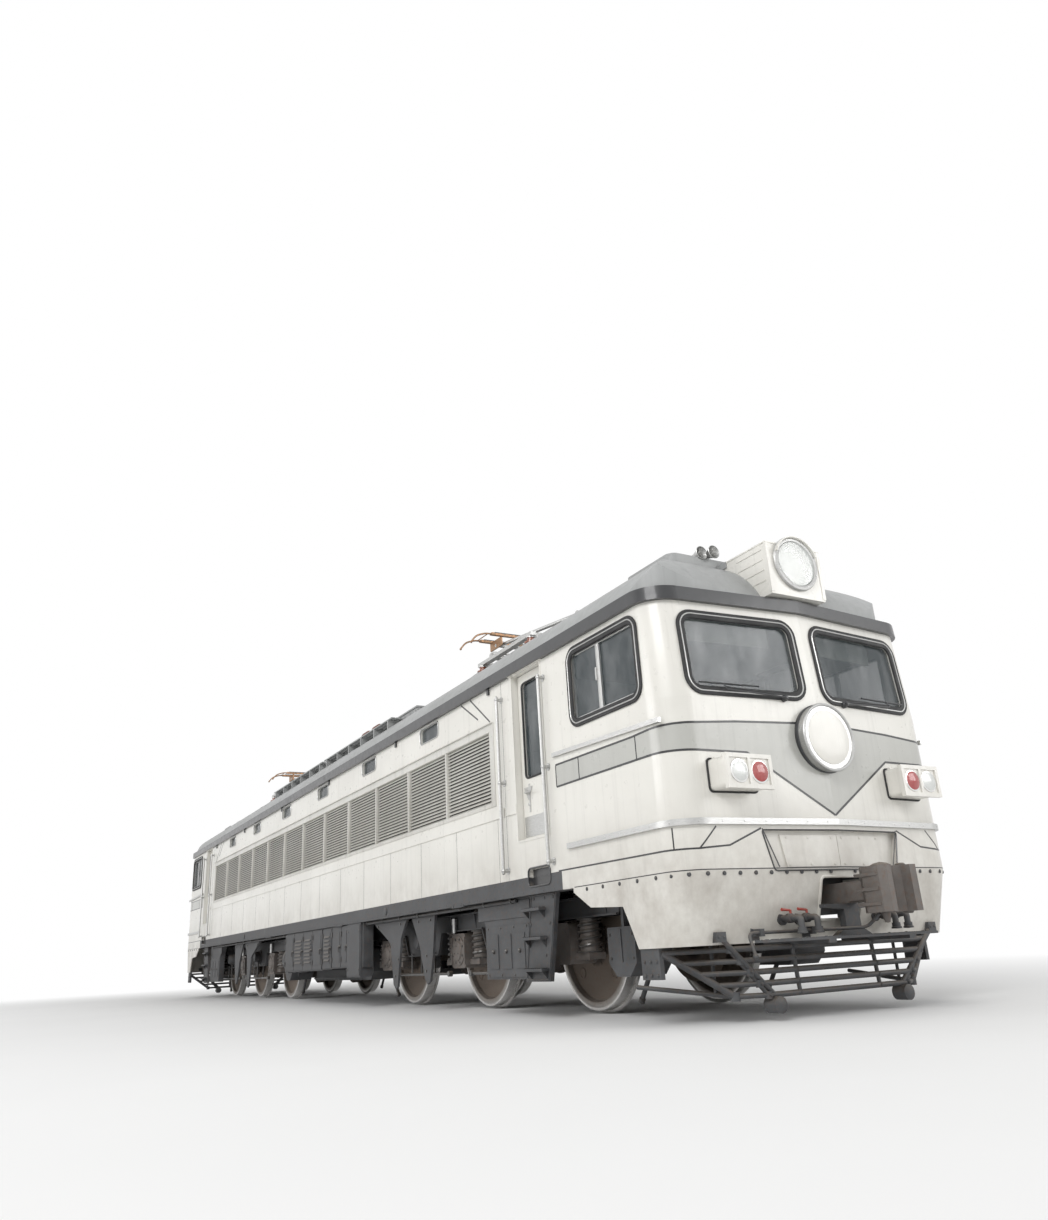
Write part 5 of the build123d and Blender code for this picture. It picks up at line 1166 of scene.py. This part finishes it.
for x, y in [(x, BUS_Y) for x in BUS_X] + [(0, -0.3)]:
    caps.lathe((x, y, roof_z(y) - 0.004), UP, foot)
    caps.lathe((x, y, 4.326), UP, cap, 20)
clamps = Piece("busbar_clamps", "copper")
for x in BUS_X:
    for dx in (-0.067, 0.043):
        clamps.disc((x + dx, BUS_Y, 4.383), FORWARD, 0.027, 0.024, 16)
    clamps.bolts([(x, BUS_Y, 4.403)], UP, 0.010, 0.010)
sheds = Piece("breaker_sheds", "insulator_glaze")
for way in (1, -1):
    boss = ((0, 0.080), (0.02, 0.080), (0.026, 0.055), (0.05, 0.05), (0.054, 0))
    clamps.lathe((way * 0.42, -0.3, 4.5), FORWARD * way, boss)
    for x in spread(0.17, 0.06, 4):
        shed = ((0, 0.074), (0.004, 0.104), (0.012, 0.108), (0.024, 0.074))
        sheds.lathe((way * x, -0.3, 4.5), FORWARD * way, shed, 28)
done(caps, clamps, sheds)

# Pantographs: springs and beams of the base, control rod, collars, braces, contact strips and horns
ARM, KNEE, HEAD = [PIVOT[f"pantograph_front_{joint}"] for joint in ("raise", "knee", "head")]
ARM_RUN = (KNEE - ARM).normalized()


def fork(t, sign):
    """Point on one leg of the upper arm, from the knee at t = 0 to the head at t = 1."""
    return KNEE.lerp(HEAD, t) + Vector((0, sign * (0.115 + 0.235 * t), 0))


for name, end in ENDS:
    base = Piece(f"pantograph_springs_{name}", "bright_steel", end=end)
    z, foot = 4.418, HIGH["roof_insulators"].z + 0.002
    barrel = ((0, 0.030), (0.03, 0.030), (0.034, 0.022), (0.526, 0.022), (0.53, 0.03), (0.56, 0.03))
    for y in (-0.2, 0.2):
        base.lathe((5.30, y, z), FORWARD, barrel, 16)
        coil = []
        for i in range(181):
            a = 2 * math.pi * i / 12
            coil.append((5.34 + 0.48 * i / 180, y + 0.038 * math.cos(a), z + 0.038 * math.sin(a)))
        base.tube(coil, 0.0075, 6)
        for x in (5.85, 5.29):
            base.box((x, y - 0.03, foot), (x + 0.03, y + 0.03, foot + 0.10))
        base.box((5.28, y - 0.035, foot), (5.89, y + 0.035, foot + 0.015))
    for x in (5.40, 5.72):
        base.box((x, -0.47, foot), (x + 0.05, 0.47, foot + 0.014))
    for way in (1, -1):
        bearing = ((0, 0.052), (0.012, 0.052), (0.016, 0.040), (0.02, 0.040))
        base.lathe(ARM + Vector((0, way * 0.471, 0)), (0, way, 0), bearing, 20)
    low = Piece(f"pantograph_rod_{name}", "bright_steel", f"panto_lower_arm_{name}", end=end)
    low.rod((5.22, 0.074, ARM.z + 0.01), KNEE + Vector((-0.16, 0.060, 0.004)), 0.011, 10)
    for t in (0.12, 0.5, 0.88):
        r = 0.0555 - 0.015 * t
        collar = ((0, r), (0.002, r + 0.008), (0.034, r + 0.008), (0.036, r))
        low.lathe(ARM.lerp(KNEE, t) - FORWARD * 0.018, ARM_RUN, collar)
    for way in (1, -1):
        ring = ((0, 0.0352), (0, 0.041), (0.016, 0.041), (0.016, 0.0352))
        low.lathe(KNEE + Vector((0, way * 0.080, 0)), (0, -way, 0), ring)
    high = Piece(f"pantograph_braces_{name}", "bright_steel", f"panto_upper_arm_{name}", end=end)
    for t in (0.3, 0.55, 0.8):
        high.rod(fork(t, -1), fork(t, 1), 0.009, 8)
    for t in (0.3, 0.55):
        high.rod(fork(t, -1), fork(t + 0.25, 1), 0.0065, 8)
    body = f"panto_collector_head_{name}"
    strips = Piece(f"contact_strips_{name}", "trim_dark", body, bevel=0.002, end=end)
    horns = Piece(f"pantograph_horns_{name}", "copper", body)
    top, reach = HEAD.z + 0.110, 0.165
    for x in (HEAD.x - reach, HEAD.x + reach):
        strips.box((x - 0.018, -0.50, top - 0.001), (x + 0.018, 0.50, top + 0.016))
        for _ in sides(end, horns):
            curve = ((0.545, 0.012), (0.64, 0.014), (0.78, 0.06), (0.86, 0.16))
            horns.tube([(x, y, top - drop) for y, drop in curve], 0.012, 10, turn=0.09)
            horns.ball((x, 0.86, top - 0.165), 0.016, 12)
            horns.box((x - 0.022, 0.508, top - 0.001), (x + 0.022, 0.548, top + 0.007))
    for _ in sides(end, horns):
        horns.rod((HEAD.x - reach, 0.60, top - 0.014), (HEAD.x + reach, 0.60, top - 0.014), 0.007, 8)
    done(base, low, high, strips, horns)


# Bogies: the springs' line, and the side frame's inner and outer faces, ends and rods
SPRING_Y, FRAME_INNER, FRAME_OUTER, FRAME_HALF, FRAME_FACE, ROD_Y = 1.06, 0.955, 1.167, 3.25, 1.134, 1.18
COVER_Y, BETWEEN_AXLES, SAND_X = 1.198, AXLE_PITCH / 2, 3.24


def axle_box(x, outer, coils, covers, bolts):
    """Springs and cover of one axle box; the outer axle's cover is flat, to pass the hung boxes."""
    for spring_x in (x - 0.33, x + 0.33):
        coils.helix((spring_x, SPRING_Y, 0.578), 0.104, 0.0155, 0.274, 4.5)
        for z in (0.562, 0.852):
            coils.lathe((spring_x, SPRING_Y, z), UP, ((0, 0.118), (0.012, 0.122), (0.016, 0.118)))
        bolts.bolts(grid((spring_x - 0.07, spring_x + 0.07), (SPRING_Y,), (0.50,)), DOWN, 0.012, 0.012)
    if outer:
        flat = ((0, 0.162), (0.005, 0.160), (0.0055, 0.0))
        covers.lathe((x, COVER_Y - 0.002, AXLE_Z), -OUTWARD, flat, 36)
        return
    cover = ((0, 0.162), (0.012, 0.162), (0.016, 0.150), (0.017, 0.112), (0.030, 0.104), (0.034, 0.092),
             (0.036, 0.0))
    covers.lathe((x, COVER_Y, AXLE_Z), -OUTWARD, cover, 36)
    bolts.bolts(around((x, COVER_Y + 0.015, AXLE_Z), 0.134, 8, "xz", 22.5), -OUTWARD, 0.012, 0.010)
    bolts.bolts(around((x, COVER_Y + 0.0345, AXLE_Z), 0.055, 3, "xz", 90), -OUTWARD, 0.008, 0.007, False)
    for rib_x in (x - 0.187, x + 0.163):
        covers.box((rib_x, COVER_Y + 0.001, AXLE_Z - 0.15), (rib_x + 0.024, COVER_Y + 0.018, AXLE_Z + 0.15))


def side_frame(cx, flanges, bolts, rods):
    """Flanges, gussets, equalising spring seats and brake rods of one bogie side frame."""
    path = [(-FRAME_HALF, 0.870)]
    for mid in (-BETWEEN_AXLES, BETWEEN_AXLES):
        path += [(mid - 0.600, 0.870), (mid - 0.480, 0.620), (mid + 0.480, 0.620), (mid + 0.600, 0.870)]
    path = [Vector((cx + x, FRAME_INNER, z)) for x, z in path + [(FRAME_HALF, 0.870)]]
    for a, b in zip(path, path[1:]):
        thick = (b - a).normalized().cross(OUTWARD) * -0.016
        flanges.prism((a, b, b + thick, a + thick), (0, FRAME_OUTER - FRAME_INNER, 0))
    flanges.box((cx - FRAME_HALF, FRAME_INNER, 1.044), (cx + FRAME_HALF, FRAME_OUTER, 1.062))
    for dx in (-3.05, -2.0, -0.35, 0.35, 2.0, 3.05):
        x = cx + dx - 0.006
        gusset = [(x, FRAME_FACE + out, z) for out, z in ((0, 0.872), (0, 1.045), (0.030, 1.045))]
        flanges.prism(gusset, (0.012, 0, 0))
    seat = ((0, 0.13), (0.02, 0.13), (0.025, 0.105), (0.10, 0.100), (0.13, 0.085), (0.135, 0))
    z = 0.405
    for x in (cx - BETWEEN_AXLES, cx + BETWEEN_AXLES):
        flanges.lathe((x, FRAME_FACE, 0.80), -OUTWARD, seat, 30)
        bolts.bolts(around((x, FRAME_FACE + 0.022, 0.80), 0.117, 6, "xz", 30), -OUTWARD, 0.010, 0.009)
        rods.disc((x, ROD_Y, 0.70), DOWN, 0.016, 0.28, 10)
        rods.disc((x - 0.85, ROD_Y, z), FORWARD, 0.017, 1.70, 10)
        for eye_x in (x - 0.85, x + 0.85):
            rods.disc((eye_x, ROD_Y - 0.025, z), -OUTWARD, 0.032, 0.05, 16)
        for link_x in (x - 0.36, x + 0.36):
            rods.box((link_x - 0.012, ROD_Y - 0.030, 0.39), (link_x + 0.012, ROD_Y - 0.014, 0.66))


def sand_box(cx, way, flanges, bolts, rods):
    """Lid, filler, bolts and rib of a sand box at one end of the bogie, and its pipe's nozzle."""
    x = cx + way * SAND_X
    flanges.box((x - 0.205, 0.74, 0.747), (x + 0.205, 1.13, 0.764))
    filler = ((0, 0.085), (0.012, 0.085), (0.018, 0.10), (0.034, 0.10), (0.04, 0.06), (0.046, 0))
    flanges.lathe((x, 0.94, 0.762), UP, filler)
    bolts.bolts(grid((x - 0.17, x + 0.17), (1.130,), (0.50, 0.70)), -OUTWARD, 0.011, 0.009)
    flanges.box((x - 0.012, 1.129, 0.47), (x + 0.012, 1.140, 0.745))
    nozzle = Vector((x - way * 0.28, 0.77, 0.11))
    aim = (nozzle - Vector((x - way * 0.08, 0.77, 0.388))).normalized()
    rods.lathe(nozzle - aim * 0.05, aim, ((0, 0.023), (0.004, 0.030), (0.045, 0.030), (0.052, 0.018)), 16)


def traction_motor(motors, x):
    """End bells with their bolts and three ribs round the case."""
    z = 0.65
    bell = ((0, 0.288), (0.012, 0.284), (0.016, 0.20), (0.03, 0.19), (0.034, 0.10), (0.042, 0.09), (0.045, 0))
    for _ in sides(1, motors):
        motors.lathe((x, 0.299, z), -OUTWARD, bell, 40)
        motors.bolts(around((x, 0.312, z), 0.245, 8, "xz"), -OUTWARD, 0.014, 0.012)
    motors.mirror = (1, 1, 1)
    for y in (-0.215, -0.015, 0.185):
        motors.lathe((x, y, z), -OUTWARD, ((0, 0.289), (0.004, 0.300), (0.026, 0.300), (0.03, 0.289)), 40)


for name, end in ENDS:
    cx = end * BOGIE_X
    body = f"bogie_{name}"
    coils = Piece(f"box_springs_{name}", "oil_steel", body, slot="cast_steel")
    covers = Piece(f"axle_box_covers_{name}", "cast_steel", body, bevel=0.003)
    bolts = Piece(f"axle_box_bolts_{name}", "oil_steel", body, slot="cast_steel")
    flanges = Piece(f"bogie_frame_flanges_{name}", "frame_paint", body, bevel=0.003)
    rods = Piece(f"brake_rods_{name}", "oil_steel", body, slot="cast_steel")
    dampers = Piece(f"dampers_{name}", "bright_steel", body)
    motors = Piece(f"motor_fittings_{name}", "cast_steel", body, bevel=0.003)
    damper = ((0, 0.020), (0.01, 0.030), (0.10, 0.030), (0.104, 0.036), (0.17, 0.036), (0.175, 0.02))
    for _ in sides(1, coils, covers, bolts, flanges, rods, dampers):
        for axle in (-AXLE_PITCH, 0, AXLE_PITCH):
            axle_box(cx + axle, axle * end > 0.1, coils, covers, bolts)
            dampers.lathe((cx + axle + (0.155 if axle < 0 else -0.155), 1.178, 0.845), UP, damper, 16)
        side_frame(cx, flanges, bolts, rods)
        for x in (cx - 1.5, cx + 1.5):
            coils.helix((x, SPRING_Y, 1.085), 0.130, 0.019, 0.285, 4)
            coils.lathe((x, SPRING_Y, 1.060), UP, ((0, 0.158), (0.014, 0.158), (0.020, 0.150)), 28)
            coils.disc((x, SPRING_Y, 1.384), UP, 0.150, 0.012, 28)
        for way in (-1, 1):
            sand_box(cx, way, flanges, bolts, rods)
    for dx in (0.62 - AXLE_PITCH, 0.62, AXLE_PITCH - 0.62):
        traction_motor(motors, cx + dx)
    done(coils, covers, bolts, flanges, rods, dampers, motors)

# Wheels: rim and hub rings, hub bolts and bosses
TYRE_FACE = 0.8165
for number, axle in enumerate(WHEELS, 1):
    wheel = Piece(f"wheel_details_{number}", f"wheel_{number}", f"wheels_{number}", slot="wheel_steel")
    rim = ((0, 0.556), (0.004, 0.560), (0.006, 0.590), (0.004, 0.594), (0, 0.598))
    hub = ((0, 0.148), (0.006, 0.142), (0.010, 0.104), (0.010, 0.101), (0, 0.101))
    for _ in sides(1, wheel):
        wheel.lathe((axle.x, TYRE_FACE - 0.003, AXLE_Z), -OUTWARD, rim, 64, True)
        wheel.lathe((axle.x, TYRE_FACE + 0.028, AXLE_Z), -OUTWARD, hub, 36, True)
        wheel.bolts(around((axle.x, TYRE_FACE - 0.037, AXLE_Z), 0.205, 10, "xz"), -OUTWARD, 0.014, 0.014)
        for boss in around((axle.x, TYRE_FACE - 0.041, AXLE_Z), 0.40, 4, "xz", 45):
            wheel.lathe(boss, -OUTWARD, ((0, 0.052), (0.007, 0.052), (0.009, 0.045), (0.003, 0.040)), 20)
    wheel.done()


# Inside the cabs
def cushion(piece, centre, half, crown, along, facing, steps=12):
    """Crowned pad whose sides pull in between its corners, with a stitched seam; returns its edge."""
    across = facing.cross(along)

    def point(u, v, side):
        rise = crown * (1 - u ** 6) ** 0.5 * (1 - v ** 6) ** 0.5
        seam = 0.010 * math.exp(-((abs(u) - 0.5) / 0.05) ** 2) * (1 - v ** 6)
        length = along * (u * half[0] * (0.95 + 0.05 * v * v))
        width = across * (v * half[1] * (0.95 + 0.05 * u * u))
        return centre + length + width + facing * side * (rise - seam)

    grades = spread(-1, 2 / steps, steps + 1)
    sheets = []
    for side in (1, -0.5):
        sheets.append([piece.ring([point(u, v, side) for v in grades]) for u in grades])
        for a, b in zip(sheets[-1], sheets[-1][1:]):
            for i in range(steps):
                piece.bm.faces.new((a[i], a[i + 1], b[i + 1], b[i]))
    rims = []
    for s in sheets:
        rims.append(s[0] + [row[-1] for row in s[1:]] + s[-1][-2::-1] + [row[0] for row in s[-2:0:-1]])
    edge = [v.co.copy() for v in rims[0]]
    bmesh.ops.weld_verts(piece.bm, targetmap=dict(zip(rims[1], rims[0])))
    return edge


def desk(name, end):
    """Dials, screens, levers and buttons on the driver's desk."""
    panel = Piece(f"desk_fittings_{name}", "trim_dark", bevel=0.003, end=end)
    dials = Piece(f"desk_dials_{name}", "dial_white", slot="lamp_paint", end=end)
    levers = Piece(f"desk_levers_{name}", "bright_steel", end=end)
    n = Vector((-0.07, 0, 0.56)).normalized()
    for y in (-0.95, -0.78, -0.61, 0.61, 0.78, 0.95):
        centre = Vector((9.86, y, 2.435))
        panel.lathe(centre - n * 0.01, n, ((0, 0.068), (0.03, 0.068), (0.036, 0.058)), 28)
        dials.lathe(centre + n * 0.0235, n, ((0, 0.057), (0.004, 0.056), (0.0045, 0)), 28)
    panel.box((9.80, -0.42, 2.42), (9.93, 0.42, 2.60))
    for y in (-0.3, 0.0, 0.3):
        dials.box((9.797, y - 0.11, 2.45), (9.802, y + 0.11, 2.57))
    for y in (-1.05, 1.05, -0.30, 0.30):
        levers.rod((9.56, y, 2.39), (9.53, y, 2.50), 0.010, 10)
        levers.ball((9.53, y, 2.51), 0.026)
    for k in range(8):
        at = (9.50 + 0.045 * (k % 2), 0.055 * k - 0.9, 2.398 + 0.004 * (k % 2))
        levers.lathe(at, n, ((0, 0.012), (0.012, 0.012), (0.015, 0.008)), 12)
    done(panel, dials, levers)


def cab_walls(name, end):
    """Sun visors, lockers and the door on the cab's back wall."""
    visors = Piece(f"sun_visors_{name}", "cab_lining", bevel=0.004)
    for _ in sides(end, visors):
        outline = [(y, z) for y, z in ((0.24, 3.25), (1.15, 3.25), (1.15, 3.04), (0.24, 3.04))]
        visors.prism([(on_face(y, 3.2, -0.16).x, -y, z) for y, z in outline], FORWARD * -0.012)
        visors.rod(on_face(0.2, 3.2, -0.165) + UP * 0.062, on_face(1.18, 3.2, -0.165) + UP * 0.062, 0.010, 10)
    walls = Piece(f"cab_walls_{name}", "cab_lining", bevel=0.004, end=end)
    for y0, y1 in ((-1.40, -0.48), (0.48, 1.40)):
        walls.box((7.39, y0, 1.66), (7.56, y1, 3.0))
        for z in (1.95, 2.4, 2.75):
            walls.box((7.56, y0 + 0.06, z - 0.2), (7.572, y1 - 0.06, z + 0.12))
    walls.box((7.39, -0.36, 1.64), (7.405, 0.36, 3.3))
    done(visors, walls)


def seats(name, end):
    """Two driver's seats: cushions and backs, their welts and the arm rests."""
    arms = Piece(f"seat_arms_{name}", "seat_cover", bevel=0.006)
    lean, facing = Vector((-0.13 * end, 0, 0.99)).normalized(), Vector((0.99 * end, 0, 0.13)).normalized()
    for seat_name, y in (("right", -0.75), ("left", 0.75)):
        pads = (("cushion", (end * 8.81, y, 2.150), (0.23, 0.215), FORWARD * end, UP),
                ("back", (end * 8.655, y, 2.46), (0.285, 0.205), lean, facing))
        arms.mirror = (1, 1, 1)
        for pad_name, centre, half, along, out in pads:
            pad = Piece(f"seat_{pad_name}_{name}_{seat_name}", "seat_cover")
            edge = cushion(pad, Vector(centre), half, 0.045, along, out)
            pad.done(60)
            arms.tube(edge, 0.006, 6, closed=True)
        arms.mirror = (end, 1, 1)
        for arm_y in (y - 0.235, y + 0.235):
            arms.box((8.62, arm_y - 0.022, 2.34), (8.92, arm_y + 0.022, 2.375))
            arms.rod((8.63, arm_y, 2.10), (8.64, arm_y, 2.345), 0.012, 10)
    arms.done()


for name, end in ENDS:
    desk(name, end)
    cab_walls(name, end)
    seats(name, end)

# Camera at the drawing's angle, fitted to the drawing of 1048 by 1220 pixels
YAW, PITCH, ROLL = [math.radians(a) for a in (149.93, 20.49, -3.18)]
FOCAL_PIXELS, FRAME_PIXELS, SENSOR = 918.04, 1220, 36
camera = bpy.data.objects.new("camera", bpy.data.cameras.new("camera"))
bpy.context.scene.collection.objects.link(camera)
ahead = Vector((math.cos(YAW) * math.cos(PITCH), math.sin(YAW) * math.cos(PITCH), math.sin(PITCH)))
right = Vector((math.sin(YAW), -math.cos(YAW), 0))
up = right.cross(ahead)
tilted = (math.cos(ROLL) * right + math.sin(ROLL) * up, math.cos(ROLL) * up - math.sin(ROLL) * right, -ahead)
camera.matrix_world = Matrix.Translation((15.764, -6.091, 0.584)) @ Matrix(tilted).transposed().to_4x4()
camera.data.sensor_width = SENSOR
camera.data.lens = FOCAL_PIXELS * SENSOR / FRAME_PIXELS
camera.data.clip_end = 400
bpy.context.scene.camera = camera

# Floor, which fades into the white backdrop with the distance from the locomotive
HALF_SPAN, THICK = 90, 0.06
FADE_START, FADE_END, FADE_UNIT = 0.04, 0.60, 20.0
mesh = bpy.data.meshes.new("studio_floor")
bm = bmesh.new()
slab = Matrix.Translation((0, 0, -THICK / 2)) @ Matrix.Diagonal((2 * HALF_SPAN, 2 * HALF_SPAN, THICK, 1))
bmesh.ops.create_cube(bm, size=1, matrix=slab)
bm.to_mesh(mesh)
bm.free()
floor = bpy.data.objects.new("studio_floor", mesh)
bpy.context.scene.collection.objects.link(floor)
look = Surface("studio_floor", (0.90, 0.90, 0.89), 0.85)
patches = look.noise(0.25, 3)
look.set(**{"Base Color": look.ramp(patches, (0.3, (0.885, 0.885, 0.88)), (0.7, (0.915, 0.915, 0.91)))})
place = look.xyz(look.nodes.new("ShaderNodeNewGeometry").outputs["Position"])
reach = []
for axis, half in (("X", 10.8), ("Y", 1.6)):
    past = look.maths("SUBTRACT", look.maths("ABSOLUTE", place[axis]), half)
    reach.append(look.maths("POWER", look.maths("MAXIMUM", past, 0.0), 2.0))
distance = look.maths("SQRT", look.maths("ADD", *reach))
far = look.ramp(look.maths("DIVIDE", distance, FADE_UNIT), (FADE_START, 0.0), (FADE_END, 1.0))
glow = look.node("Emission", "Emission", {})
lit = look.nodes["Principled BSDF"].outputs["BSDF"]
fade = look.node("MixShader", "Shader", {0: look.times(far, look.seen_directly()), 1: lit, 2: glow})
look.put(fade, look.nodes["Material Output"].inputs["Surface"])
mesh.materials.append(look.material)

# World: soft light on everything, plain white where the backdrop is seen
world = bpy.data.worlds.new("studio")
bpy.context.scene.world = world
world.use_nodes = True
studio = Graph(world.node_tree)
soft = studio.node("Background", "Background", {"Color": (1.0, 1.0, 1.0), "Strength": 0.5})
white = studio.node("Background", "Background", {"Color": (1.0, 1.0, 1.0), "Strength": 1.0})
sky = studio.node("MixShader", "Shader", {0: studio.seen_directly(), 1: soft, 2: white})
studio.put(sky, studio.nodes["World Output"].inputs["Surface"])


def lamp(name, at, aim, size, power):
    """Soft box that points at a place on the body."""
    light = bpy.data.lights.new(name, "AREA")
    light.shape = "RECTANGLE"
    light.size, light.size_y = size
    light.energy = power
    obj = bpy.data.objects.new(name, light)
    bpy.context.scene.collection.objects.link(obj)
    obj.location = at
    obj.rotation_euler = (Vector(aim) - Vector(at)).to_track_quat("-Z", "Y").to_euler()


lamp("key", (22, -20, 17), (3, 0, 2), (14, 9), 3300)
lamp("fill", (24, 12, 8), (7, 0, 2), (12, 8), 1100)
lamp("side", (-6, -26, 9), (-3, 0, 2), (20, 6), 1550)
bpy.context.scene.view_settings.view_transform = "Standard"
